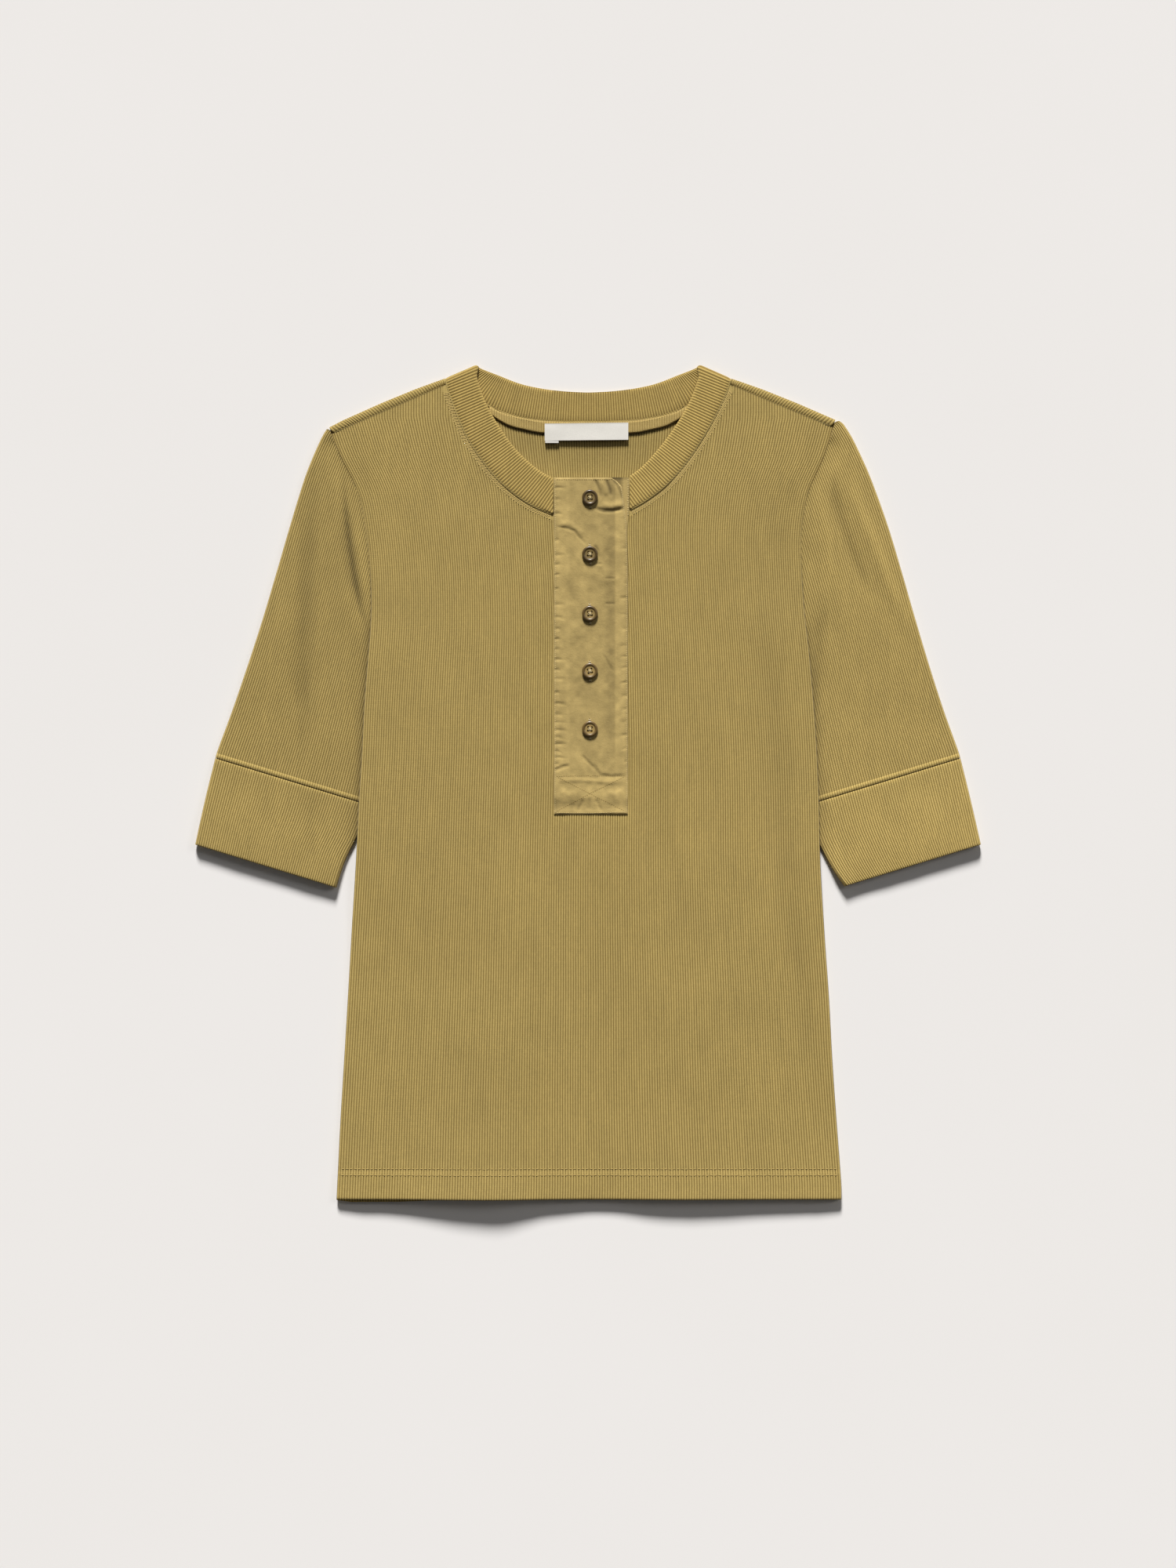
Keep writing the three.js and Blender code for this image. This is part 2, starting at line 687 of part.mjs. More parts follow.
function bandStations() {
  const level = (rows, side) => rows.map((row) => ({
    inner: [row.innerX, row.innerY, BAND.front], outer: [row.outerX, row.outerY, BAND.front], turn: 0, side,
  }));
  const backHalf = (sign) => BAND_BACK.map((row) => ({
    inner: [sign * row.innerX, row.innerY, BAND.back],
    outer: [sign * row.outerX, row.outerY, BAND.back],
    turn: 180,
    side: sign,
  }));
  const fold = (sign) => [0, 45, 90, 135, 180].map((turn) => {
    const out = outwardOf(sign);
    const angle = degToRad(turn);
    const reach = BAND.roll * Math.sin(angle) - BAND.roll - BAND.half;
    const z = (BAND.front + BAND.back) / 2 + BAND.roll * Math.cos(angle);
    const place = ([x, y]) => [sign * x + out.x * reach, y + out.y * reach, z];
    return { inner: place(BAND_FOLD.inner), outer: place(BAND_FOLD.outer), turn, side: sign };
  });
  return [
    ...level(BAND_RIGHT, -1),
    ...fold(-1),
    ...backHalf(-1).slice(0, -1),
    ...backHalf(1).reverse(),
    ...fold(1).reverse(),
    ...level(BAND_LEFT, 1).reverse(),
  ];
}

// Level direction away from the neck at the shoulder fold
function outwardOf(sign) {
  const [ix, iy] = BAND_FOLD.inner;
  const [ox, oy] = BAND_FOLD.outer;
  const length = Math.hypot(ox - ix, iy - oy);
  return new THREE.Vector2((sign * (iy - oy)) / length, (ox - ix) / length);
}

function bandSampler() {
  const stations = bandStations();
  const curve = (key) => new THREE.CatmullRomCurve3(stations.map((s) => new THREE.Vector3(...s[key])));
  const [inner, outer] = [curve('inner'), curve('outer')];
  const last = stations.length - 1;
  const at = (t) => {
    const i = Math.min(Math.floor(t * last), last - 1);
    const share = t * last - i;
    const turn = degToRad(lerp(stations[i].turn, stations[i + 1].turn, share));
    const out = outwardOf(stations[i].side);
    const normal = new THREE.Vector3(out.x * Math.sin(turn), out.y * Math.sin(turn), Math.cos(turn));
    const z = lerp(stations[i].inner[2], stations[i + 1].inner[2], share);
    return { inner: inner.getPoint(t).setZ(z), outer: outer.getPoint(t).setZ(z), normal };
  };
  const count = 600;
  const length = [0];
  const shares = [0];
  let before = at(0);
  for (let i = 1; i <= count; i += 1) {
    const now = at(i / count);
    const step = (now.inner.distanceTo(before.inner) + now.outer.distanceTo(before.outer)) / 2;
    length.push(length[i - 1] + step);
    shares.push(i / count);
    before = now;
  }
  const rows = length.map((s, i) => ({ s, t: shares[i] }));
  const total = length[count];
  const tOf = straight(rows, 's', 't');
  const lengthOf = straight(rows, 't', 's');
  const place = (s) => at(tOf(s));
  return { total, place, foldRight: lengthOf(10 / last), foldLeft: lengthOf((last - 9) / last) };
}

function neckband(material) {
  const band = bandSampler();
  const skin = (sign, fine) => {
    const ribs = Math.round(band.total / BAND_RIB_PITCH);
    const rows = [];
    for (let i = 0; i <= 2 * ribs; i += 1) {
      const s = (band.total * i) / (2 * ribs);
      const raised = fine(s);
      if (!raised && i % 12 !== 0 && !nearFold(band, s) && i !== 2 * ribs) continue;
      const { inner, outer, normal } = band.place(s);
      const rib = raised ? ribbed(i, RIB_HEIGHT) : 0;
      rows.push([[0, BAND.foldEdge], [1, BAND.half]].map(([share, height]) => {
        const p = inner.clone().lerp(outer, share).addScaledVector(normal, sign * (height + rib));
        return point(s, share, p.x, p.y, p.z);
      }));
    }
    return rows;
  };
  const faceUp = (s) => s < band.foldRight || s > band.foldLeft;
  const outer = skin(1, faceUp);
  const inner = skin(-1, (s) => !faceUp(s));
  return meshOf('neckband', material, wall(outer, inner));
}

function nearFold(band, s) {
  return Math.min(Math.abs(s - band.foldRight), Math.abs(s - band.foldLeft)) < 9;
}

// Flat trims that lie on a level

function strip(name, material, columns, thickness) {
  columns.forEach((column) => column.forEach((p) => {
    p.twin = point(p.u, p.v, p.x, p.y, p.z + thickness);
  }));
  const faces = [];
  zipAll(faces, columns, 'v');
  return meshOf(name, material, doubled(faces));
}

function neckTape(material) {
  const low = smooth(TAPE_EDGE, 'x', 'y');
  const z = CLOTH + SEAM;
  const bandEdge = topLine(sampled(outerPairs(BAND_BACK), 40));
  const columns = [];
  for (let i = -8; i <= 8; i += 1) {
    const x = (66 * i) / 8;
    const top = bandEdge(Math.abs(x)) - 2 * SEAM;
    columns.push([0, 1].map((v) => point(i, v, x, lerp(low(Math.abs(x)), top, v), z)));
  }
  return strip('neck_tape', material, columns, TAPE_CLOTH);
}

function neckLabel(material) {
  const z = CLOTH + SEAM + TAPE_CLOTH + SEAM;
  const columns = [[-31.6, 250], [0, 250.2], [29.4, 250.6]].map(([x, y], i) => (
    [0, 1].map((v) => point(i, v, x, y + v * 12.6, z))
  ));
  return strip('neck_label', material, columns, TAPE_CLOTH);
}

const placketLevel = 2 * CLOTH + BODY_GAP.middle + SEAM + 0.05;

function placketBand(name, material, right, left, bottom, z, thickness) {
  const columns = spaced(2).map((u) => spaced(6).map((v) => (
    point(u, v, lerp(right, left, u), lerp(bottom, PLACKET.top, v), z)
  )));
  return strip(name, material, columns, thickness);
}

// A button: a turned disc with a rim and a dished middle, and four holes cut through

const wasm = await Module();
wasm.setup();

function solidOf(geometry) {
  const bare = geometry.clone();
  bare.deleteAttribute('normal');
  bare.deleteAttribute('uv');
  const merged = mergeVertices(bare, 1e-4);
  const corners = merged.index.array;
  const kept = [];
  for (let i = 0; i < corners.length; i += 3) {
    const [a, b, c] = [corners[i], corners[i + 1], corners[i + 2]];
    if (a !== b && b !== c && c !== a) kept.push(a, b, c);
  }
  const mesh = new wasm.Mesh({
    numProp: 3,
    vertProperties: new Float32Array(merged.attributes.position.array),
    triVerts: new Uint32Array(kept),
  });
  return new wasm.Manifold(mesh);
}

function geometryOf(solid) {
  const { vertProperties, triVerts } = solid.getMesh();
  const geometry = new THREE.BufferGeometry();
  geometry.setAttribute('position', new THREE.Float32BufferAttribute(vertProperties, 3));
  geometry.setIndex([...triVerts]);
  geometry.computeVertexNormals();
  return geometry;
}

function buttonGeometry() {
  const { radius, height } = BUTTON;
  const profile = [
    [0, 0], [radius - 1.1, 0], [radius, 0.9], [radius - 0.2, height - 0.4],
    [radius - 1, height], [radius - 2.1, height - 0.6], [0, height - 0.75],
  ].map(([r, z]) => new THREE.Vector2(r, z));
  const disc = new THREE.LatheGeometry(profile, BUTTON.sides).rotateX(Math.PI / 2);
  let solid = solidOf(disc);
  for (const x of [-1, 1]) {
    for (const y of [-1, 1]) {
      const hole = new THREE.CylinderGeometry(BUTTON.holeRadius, BUTTON.holeRadius, 8, BUTTON.holeSides);
      hole.rotateX(Math.PI / 2).translate(x * BUTTON.holeReach, y * BUTTON.holeReach, 0);
      solid = solid.subtract(solidOf(hole));
    }
  }
  return geometryOf(solid);
}

// Materials

function cloth(color, roughness) {
  return new THREE.MeshStandardMaterial({ color, roughness, metalness: 0 });
}

const knit = cloth(0xa58f56, 0.92);
const bandKnit = cloth(0xa08a50, 0.92);
const twill = cloth(0xaf9961, 0.85);
const tapeKnit = cloth(0x9c8649, 0.9);
const cream = cloth(0xe8e2d6, 0.8);
const resin = cloth(0x4c3f26, 0.35);

// The shirt

const shirt = new THREE.Group();
shirt.add(backBody(knit), frontBody(knit));
for (const side of ['right', 'left']) shirt.add(sleeve(side, knit), cuff(side, knit));
shirt.add(neckband(bandKnit), neckTape(tapeKnit), neckLabel(cream));
const topLevel = placketLevel + PLACKET_CLOTH.under + SEAM;
shirt.add(
  placketBand('placket_under', twill, PLACKET.right + 4, PLACKET.underLeft, PLACKET.underBottom,
    placketLevel, PLACKET_CLOTH.under),
  placketBand('placket_top', twill, PLACKET.right, PLACKET.left, PLACKET.bottom, topLevel, PLACKET_CLOTH.top),
);
BUTTON_YS.forEach((y, i) => {
  const button = named(`button_${i + 1}`, resin, buttonGeometry());
  button.position.set(BUTTON_X, y, topLevel + PLACKET_CLOTH.top + SEAM);
  shirt.add(button);
});

export default shirt;
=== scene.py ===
"""Henley shirt in rib knit, laid flat and face up: its looks.

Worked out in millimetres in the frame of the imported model, and made in metres.
"""

import bpy
import numpy as np
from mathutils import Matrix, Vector


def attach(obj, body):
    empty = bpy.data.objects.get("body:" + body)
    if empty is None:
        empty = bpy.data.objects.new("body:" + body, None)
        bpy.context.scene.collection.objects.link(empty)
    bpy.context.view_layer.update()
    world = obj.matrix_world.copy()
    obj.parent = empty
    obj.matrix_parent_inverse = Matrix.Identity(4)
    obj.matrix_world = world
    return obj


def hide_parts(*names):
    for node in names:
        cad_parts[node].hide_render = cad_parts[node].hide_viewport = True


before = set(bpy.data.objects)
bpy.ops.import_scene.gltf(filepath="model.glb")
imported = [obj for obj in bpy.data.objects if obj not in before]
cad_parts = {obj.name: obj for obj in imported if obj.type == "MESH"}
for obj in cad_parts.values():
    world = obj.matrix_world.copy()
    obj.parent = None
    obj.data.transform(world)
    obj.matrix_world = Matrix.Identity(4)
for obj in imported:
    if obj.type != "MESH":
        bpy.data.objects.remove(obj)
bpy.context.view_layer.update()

MM = 0.001
CLOTH = 1.2
SEAM = 0.3
RIB = 0.36
BODY_RIBS = 192
SLEEVE_RIBS = 65
BAND_RIB_PITCH = (2.0, 1.82)  # on the front and on the back
STITCH = 1.35  # height of one knitted stitch
PROFILE = np.array([0, 0.75, 1, 0.75])  # of a rib, at its four columns
HEM = {"front": -303.5, "depth": 19.5, "fold": 0.35}
HEM_STEP = HEM["front"] + HEM["depth"]
UNDERARM = 122
SLEEVE_LIFT = 3.6
WRAP_RADIUS = 1.9
SLEEVE = {"pitch": 17, "x": -190.5, "y": 256.8, "seam": 252, "end": 316.5}
TOP = {"pressed": 2.7, "free": 4.0, "mouth": 5.6}
BAND = {"front": 3.6, "back": 1.0, "half": 1.0, "roll": 1.3}
PLACKET = {"right": -24.9, "under_left": 30, "top": 223, "bottom": -22.9, "under_bottom": -8}
PLACKET_UNDER = (3.85, 4.55)
PLACKET_TOP = (4.85, 5.85)
BUTTON_X = 1.4
BUTTON_FLAT = 0.78
BUTTON_TONES = [-0.05, 0.05, 0.45, 0.7, 0.75]
BUTTON_YS = [208.2, 167, 123.6, 81.8, 39.5]
BUTTON_TURNS = np.radians([3, -8, 5, 12, -4])
HOLE = {"off": 1.35, "radius": 0.75}
CUFF_STITCHES = 254.8  # how far down the sleeve the row beside the cuff seam runs
TAPE_HALF = 72
LABEL = {"right": -31.6, "left": 29.4}
THREAD_FLAT = 0.7
# The second of these columns holds the light and shade painted on each fold: darker in troughs, lighter on ridges.
HEIGHT, PAINTED_SHADING = 1, 2  # columns of the tables of folds


# Tables and curves


def table(columns, rows):
    return dict(zip(columns.split(), np.array(rows, float).T))


def smooth(rows, key, column):
    """A smooth curve through one column of a table, by the value in another."""
    k, p = rows[key], rows[column]
    last = len(k) - 1
    before, after = np.maximum(np.arange(last + 1) - 1, 0), np.minimum(np.arange(last + 1) + 1, last)
    slope = (p[after] - p[before]) / (k[after] - k[before])

    def curve(at):
        i = np.clip(np.searchsorted(k, at) - 1, 0, last - 1)
        h = k[i + 1] - k[i]
        t = np.clip((at - k[i]) / h, 0, 1)
        s = 1 - t
        return (
            p[i] * s * s * (1 + 2 * t)
            + slope[i] * h * t * s * s
            + p[i + 1] * t * t * (3 - 2 * t)
            - slope[i + 1] * h * t * t * s
        )

    return curve


def straight(rows, key, column):
    return lambda at: np.interp(at, rows[key], rows[column])


def step(x, low, high):
    t = np.clip((x - low) / (high - low), 0, 1)
    return t * t * (3 - 2 * t)


def mixed(a, b, t):
    return a + (b - a) * t


def through(points, t):
    """A centripetal curve through points, at shares t of its whole."""
    points = np.array(points, float)
    last = len(points) - 1
    ends = np.vstack([2 * points[0] - points[1], points, 2 * points[-1] - points[-2]])
    place = np.clip(np.asarray(t, float), 0, 1) * last
    i = np.minimum(place.astype(int), last - 1)
    w = (place - i)[:, None]
    p = [ends[i + k] for k in range(4)]
    d = [np.maximum(np.linalg.norm(p[k + 1] - p[k], axis=1), 1e-6)[:, None] ** 0.5 for k in range(3)]
    m1 = ((p[1] - p[0]) / d[0] - (p[2] - p[0]) / (d[0] + d[1]) + (p[2] - p[1]) / d[1]) * d[1]
    m2 = ((p[2] - p[1]) / d[1] - (p[3] - p[1]) / (d[1] + d[2]) + (p[3] - p[2]) / d[2]) * d[1]
    c2 = -3 * p[1] + 3 * p[2] - 2 * m1 - m2
    c3 = 2 * p[1] - 2 * p[2] + m1 + m2
    return p[1] + m1 * w + c2 * w**2 + c3 * w**3


def noise(x, y, across, along, seed):
    """Smooth noise from -1 to 1 with cells of a given size."""
    values = np.random.default_rng(seed).uniform(-1, 1, (97, 97))
    fx, fy = x / across + 31.7, y / along + 17.3
    ix, iy = np.floor(fx).astype(int), np.floor(fy).astype(int)
    tx, ty = fx - ix, fy - iy
    tx, ty = tx * tx * (3 - 2 * tx), ty * ty * (3 - 2 * ty)
    at = lambda i, j: values[i % 97, j % 97]
    low = mixed(at(ix, iy), at(ix + 1, iy), tx)
    high = mixed(at(ix, iy + 1), at(ix + 1, iy + 1), tx)
    return mixed(low, high, ty)


def to_line(x, y, line):
    """Distance to a line of points, share of its length at the nearest place, and the side."""
    line = np.array(line, float)
    lengths = np.linalg.norm(np.diff(line, axis=0), axis=1)
    ahead = np.concatenate([[0], np.cumsum(lengths)])
    best = np.full(np.shape(x), 1e9)
    share = np.zeros(np.shape(x))
    side = np.zeros(np.shape(x))
    for (ax, ay), (bx, by), length, start in zip(line[:-1], line[1:], lengths, ahead[:-1]):
        dx, dy = (bx - ax) / length, (by - ay) / length
        t = np.clip((x - ax) * dx + (y - ay) * dy, 0, length)
        off = np.hypot(x - ax - t * dx, y - ay - t * dy)
        nearer = off < best
        best = np.where(nearer, off, best)
        share = np.where(nearer, (start + t) / ahead[-1], share)
        side = np.where(nearer, np.sign((x - ax) * -dy + (y - ay) * dx), side)
    return best, share, side


def bell(off, width):
    return np.exp(-((off / width) ** 2))


def rounded(off, radius):
    """From 1 at an edge to 0 at the radius, like the section of a rounded edge."""
    return 1 - np.sqrt(1 - (1 - np.clip(off / radius, 0, 1)) ** 2)


def fold(x, y, line, width, height, tail=0.3):
    """A soft ridge, or a trough where height is negative, that dies away at both ends."""
    off, share, _ = to_line(x, y, line)
    ends = step(share, 0, tail) * step(1 - share, 0, tail)
    return height * bell(off, width) * ends


EDGE = table(
    "y right left",
    [
        [-306, -183.6, 184.9],
        [-292, -183.0, 184.8],
        [-246, -180.8, 181.5],
        [-200, -178.0, 178.3],
        [-155, -175.3, 175.9],
        [-110, -172.7, 172.7],
        [-57, -169.3, 169.4],
        [-15, -167.2, 168.4],
        [20, -165.0, 167.0],
        [55, -163.3, 164.7],
        [85, -161.0, 162.2],
        [106, -159.2, 160.0],
        [122, -158.4, 158.2],
        [150, -158.9, 156.4],
        [180, -161.6, 155.7],
        [212, -168.0, 161.0],
        [240, -181.6, 173.0],
        [266, -191.0, 180.7],
    ],
)
right_edge, left_edge = smooth(EDGE, "y", "right"), smooth(EDGE, "y", "left")
SIGN = {"right": 1, "left": -1}
OWN_EDGE = {"right": right_edge, "left": lambda y: -left_edge(y)}  # both as on the right side
SEAM_LINE = {"right": [[-187.0, 255.1], [-103.6, 291.0]], "left": [[178.4, 259.9], [103.6, 291.0]]}
FOLD_LINE = {
    "right": [[-189.4, 257.6], [-179.5, 262.8], [-151.6, 275.3], [-127, 285.4], [-103.8, 293.9]],
    "left": [[180.9, 263.3], [153.3, 275.3], [128.1, 285.4], [103.8, 293.9]],
}
# Inner fold edge and outer seam edge of the neckband
BAND_RIGHT = np.array(
    [
        [-25.4, 222.5, -25.4, 196.5],
        [-34.9, 227.9, -39.0, 202.3],
        [-45.2, 236.2, -52.5, 210.8],
        [-55.5, 247.1, -66.5, 223.2],
        [-63.5, 258.5, -77.5, 237.0],
        [-70.9, 270.6, -87.5, 252.5],
        [-77.8, 285.5, -96.5, 272.5],
        [-81.0, 297.5, -101.8, 287.5],
    ]
)
BAND_LEFT = np.array(
    [
        [30.5, 224.0, 30.5, 199.8],
        [39.5, 231.1, 43.5, 207.6],
        [49.2, 241.4, 57.0, 218.2],
        [59.5, 254.5, 71.0, 234.2],
        [69.8, 270.6, 84.0, 253.5],
        [76.1, 283.1, 94.0, 271.5],
        [80.7, 297.0, 101.2, 287.0],
    ]
)
BAND_BACK = np.array(
    [
        [66.4, 298.2, 85.5, 283.5],
        [49.2, 291.6, 62.5, 271.2],
        [32.6, 288.0, 38.0, 265.8],
        [16.0, 286.0, 18.5, 264.5],
        [0, 285.3, 0, 264.3],
    ]
)
BAND_FOLD = {"inner": [80.7, 305.9], "outer": [104.1, 295.6]}
BAND_TURN_END = [103.2, 293.5]
TAPE_EDGE = table("x y", [[0, 255.1], [33, 255.6], [47.5, 258.3], [57.5, 261], [66, 265.5]])

SLEEVE_OUTER = table(
    "a right left",
    [
        [-12, 0, 7],
        [-8, 0, 3.2],
        [-4, -0.2, 1.2],
        [0, -1.2, 0.4],
        [4, -2.3, -0.8],
        [19, -4.3, -3.2],
        [37, -5.7, -5.3],
        [73, -5.8, -7.1],
        [109, -5.3, -7.0],
        [145, -5.0, -6.4],
        [181, -5.6, -6.2],
        [217, -6.8, -6.8],
        [245, -8.4, -8.2],
        [252, -8.4, -8.2],
        [284, -6.6, -6.4],
        [316.5, -3.9, -4.0],
    ],
)
SLEEVE_INNER = table(
    "a right left",
    [
        [140, 101.7, 101.7],
        [200, 105, 105],
        [252, 108.6, 109],
        [278, 107.4, 109.4],
        [292, 104.8, 107.3],
        [305, 104.0, 104.4],
        [316.5, 104.0, 100.4],
    ],
)
SLEEVE_HIDDEN = [[85.4, 141], [101.7, 143]]
BACK_HEM = table("u y", [[0, -304.2], [0.03, -305.6], [0.125, -305.3], [0.2, -304], [1, -304]])
HEM_WAVE = table(
    "u rise",
    [[0, 2.0], [0.12, 3.2], [0.3, 7.8], [0.42, 3.6], [0.52, 1.9], [0.63, 4.2], [0.72, 4.8], [0.85, 3.2], [1, 2.2]],
)
WAVE_FADE = table("y share", [[-304, 1], [-290, 0.55], [-272, 0.22], [-240, 0]])

hem_at = straight(BACK_HEM, "u", "y")
rise_at = smooth(HEM_WAVE, "u", "rise")
fade_at = straight(WAVE_FADE, "y", "share")


# Meshes


def faces_of(numbers, place):
    """A face between each four neighbours of a grid, rows upward and columns to the right."""
    around = lambda g: np.stack([g[:-1, :-1], g[:-1, 1:], g[1:, 1:], g[1:, :-1]], 2)
    return around(numbers).reshape(-1, 4), around(place).reshape(-1, 4, 2)


class Cloth:
    """Points and faces of one piece, each face corner with its rib and its stitch."""

    def __init__(self):
        self.points, self.tones, self.plains, self.count = [], [], [], 0
        self.faces, self.places = [], []

    def add(self, x, y, z, tone=0.0, plain=0.0):
        """Adds a grid of points and returns their numbers; plain hides the shade painted in the valleys between ribs.
        """
        x, y, z, tone, plain = np.broadcast_arrays(x, y, z, tone, plain)
        self.plains.append(plain.reshape(-1))
        self.points.append(np.stack([x, y, z], -1).reshape(-1, 3))
        self.tones.append(tone.reshape(-1))
        numbers = np.arange(self.count, self.count + x.size).reshape(x.shape)
        self.count += x.size
        return numbers

    def quads(self, quads, places):
        self.faces.append(quads)
        self.places.append(places)

    def skin(self, numbers, place, turned=False):
        quads, places = faces_of(numbers, place)
        self.quads(quads[:, ::-1] if turned else quads, places[:, ::-1] if turned else places)

    def rim(self, upper, lower, at_upper, at_lower, place):
        """Triangles between two edges that go anticlockwise round the sheet."""
        i = j = 0
        made = []
        while i < len(upper) - 1 or j < len(lower) - 1:
            next_upper = at_upper[i + 1] if i < len(upper) - 1 else np.inf
            next_lower = at_lower[j + 1] if j < len(lower) - 1 else np.inf
            if next_upper <= next_lower:
                made.append([upper[i], lower[j], upper[i + 1]])
                i += 1
            else:
                made.append([upper[i], lower[j], lower[j + 1]])
                j += 1
        self.faces.append(np.array(made))
        self.places.append(np.broadcast_to(np.array(place, float), (len(made), 3, 2)))

    def doubled(self, quads, places, under, over):
        """Both skins of a sheet and the rim all round it, from the faces of its upper skin."""
        lower = np.full(self.count, -1)
        lower[over.reshape(-1)] = under.reshape(-1)
        self.quads(quads, places)
        self.quads(lower[quads][:, ::-1], places[:, ::-1])
        starts = quads.reshape(-1)
        ends = np.roll(quads, -1, 1).reshape(-1)
        near = places.reshape(-1, 2)
        key, back = starts * self.count + ends, ends * self.count + starts
        edge = ~np.isin(key, back)
        a, b = starts[edge], ends[edge]
        self.quads(np.stack([a, lower[a], lower[b], b], 1), np.repeat(near[edge][:, None], 4, 1))

    def mirrored(self):
        self.points = [p * [-1, 1, 1] for p in self.points]
        self.faces = [f[:, ::-1] for f in self.faces]
        self.places = [p[:, ::-1] for p in self.places]

    def volume(self):
        points, total = np.concatenate(self.points), 0
        for faces in self.faces:
            a = points[faces[:, 0]]
            for k in range(1, faces.shape[1] - 1):
                total += np.einsum("ij,ij->", a, np.cross(points[faces[:, k]], points[faces[:, k + 1]]))
        return total

    def made(self, name, material, sharp=50):
        mesh = bpy.data.meshes.new(name)
        points = np.concatenate(self.points) * MM
        mesh.from_pydata(points, [], [f for faces in self.faces for f in faces.tolist()])
        layer = mesh.uv_layers.new(name="ribs")
        layer.data.foreach_set("uv", np.concatenate([p.reshape(-1) for p in self.places]).astype(np.float32))
        for key, values in (("tone", self.tones), ("plain", self.plains)):
            attribute = mesh.attributes.new(key, "FLOAT", "POINT")
            attribute.data.foreach_set("value", np.concatenate(values).astype(np.float32))
        mesh.materials.append(material)
        mesh.shade_smooth()
        mesh.set_sharp_from_angle(angle=np.radians(sharp))
        if self.volume() < 0:
            mesh.flip_normals()
        normals = np.empty(len(mesh.vertices) * 3, np.float32)
        mesh.vertices.foreach_get("normal", normals)
        # Painted shade on faces turned towards the key light, to dim their lit rims.
        tones = np.concatenate(self.tones) - 0.5 * step(normals[1::3], 0.3, 0.95)
        mesh.attributes["tone"].data.foreach_set("value", tones.astype(np.float32))
        made = bpy.data.objects.new(name, mesh)
        bpy.context.scene.collection.objects.link(made)
        return made


def placed(piece, slot, *nodes):
    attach(piece, "root")
    if nodes:
        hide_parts(*nodes)
    return piece


def pairs(a, b):
    a, b = np.broadcast_arrays(a, b)
    return np.stack([a, b], -1)


# Materials


def shader(name, roughness, sheen=0.0):
    made = bpy.data.materials.new(name)
    made.use_nodes = True
    tree = made.node_tree
    surface = tree.nodes["Principled BSDF"]
    surface.inputs["Roughness"].default_value = roughness
    surface.inputs["Sheen Weight"].default_value = sheen
    surface.inputs["Sheen Roughness"].default_value = 0.5
    surface.inputs["Specular IOR Level"].default_value = 0.2
    return made, Nodes(tree), surface


def linear(r, g, b):
    c = np.array([r, g, b]) / 255
    return (*np.where(c <= 0.04045, c / 12.92, ((c + 0.055) / 1.055) ** 2.4), 1)


class Nodes:
    """Short names for the nodes of one material."""

    def __init__(self, tree):
        self.tree = tree

    def new(self, kind, **values):
        node = self.tree.nodes.new(kind)
        for key, value in values.items():
            setattr(node, key, value)
        return node

    def link(self, source, target):
        if hasattr(source, "is_output"):
            self.tree.links.new(source, target)
        else:
            target.default_value = source

    def math(self, operation, a, b=0.0, c=0.0, clamp=False):
        node = self.new("ShaderNodeMath", operation=operation, use_clamp=clamp)
        for source, target in zip((a, b, c), node.inputs):
            self.link(source, target)
        return node.outputs[0]

    def range(self, value, low, high, to_low, to_high):
        node = self.new("ShaderNodeMapRange", interpolation_type="SMOOTHSTEP")
        for source, target in zip((value, low, high, to_low, to_high), node.inputs):
            self.link(source, target)
        return node.outputs[0]

    def noise(self, vector, scale, detail=3.0, roughness=0.6):
        node = self.new("ShaderNodeTexNoise")
        self.link(vector, node.inputs["Vector"])
        node.inputs["Scale"].default_value = scale
        node.inputs["Detail"].default_value = detail
        node.inputs["Roughness"].default_value = roughness
        return node.outputs["Fac"]

    def mix(self, share, a, b):
        node = self.new("ShaderNodeMix", data_type="RGBA")
        self.link(share, node.inputs[0])
        self.link(a, node.inputs[6])
        self.link(b, node.inputs[7])
        return node.outputs[2]

    def scaled(self, colour, by):
        node = self.new("ShaderNodeVectorMath", operation="SCALE")
        self.link(colour[:3] if isinstance(colour, tuple) else colour, node.inputs[0])
        self.link(by, node.inputs["Scale"])
        return node.outputs[0]

    def stretched(self, vector, x, y, z):
        node = self.new("ShaderNodeVectorMath", operation="MULTIPLY")
        self.link(vector, node.inputs[0])
        node.inputs[1].default_value = (x, y, z)
        return node.outputs[0]

    def bump(self, height, strength, distance, normal=None):
        node = self.new("ShaderNodeBump")
        node.inputs["Strength"].default_value = strength
        node.inputs["Distance"].default_value = distance
        self.link(height, node.inputs["Height"])
        if normal is not None:
            self.link(normal, node.inputs["Normal"])
        return node.outputs[0]

    def coordinates(self):
        return self.new("ShaderNodeTexCoord")

    def attribute(self, name):
        return self.new("ShaderNodeAttribute", attribute_name=name).outputs["Fac"]

    def shaded(self, colour, shades):
        """The colour with the mesh's tone, which holds painted light and shade as well as colour changes, made uneven
        by each value within its share.
        """
        light = self.math("ADD", self.attribute("tone"), 1.0)
        for value, share in shades:
            light = self.math("MULTIPLY", light, self.math("MULTIPLY_ADD", value, share, 1 - share / 2))
        return self.scaled(colour, light)


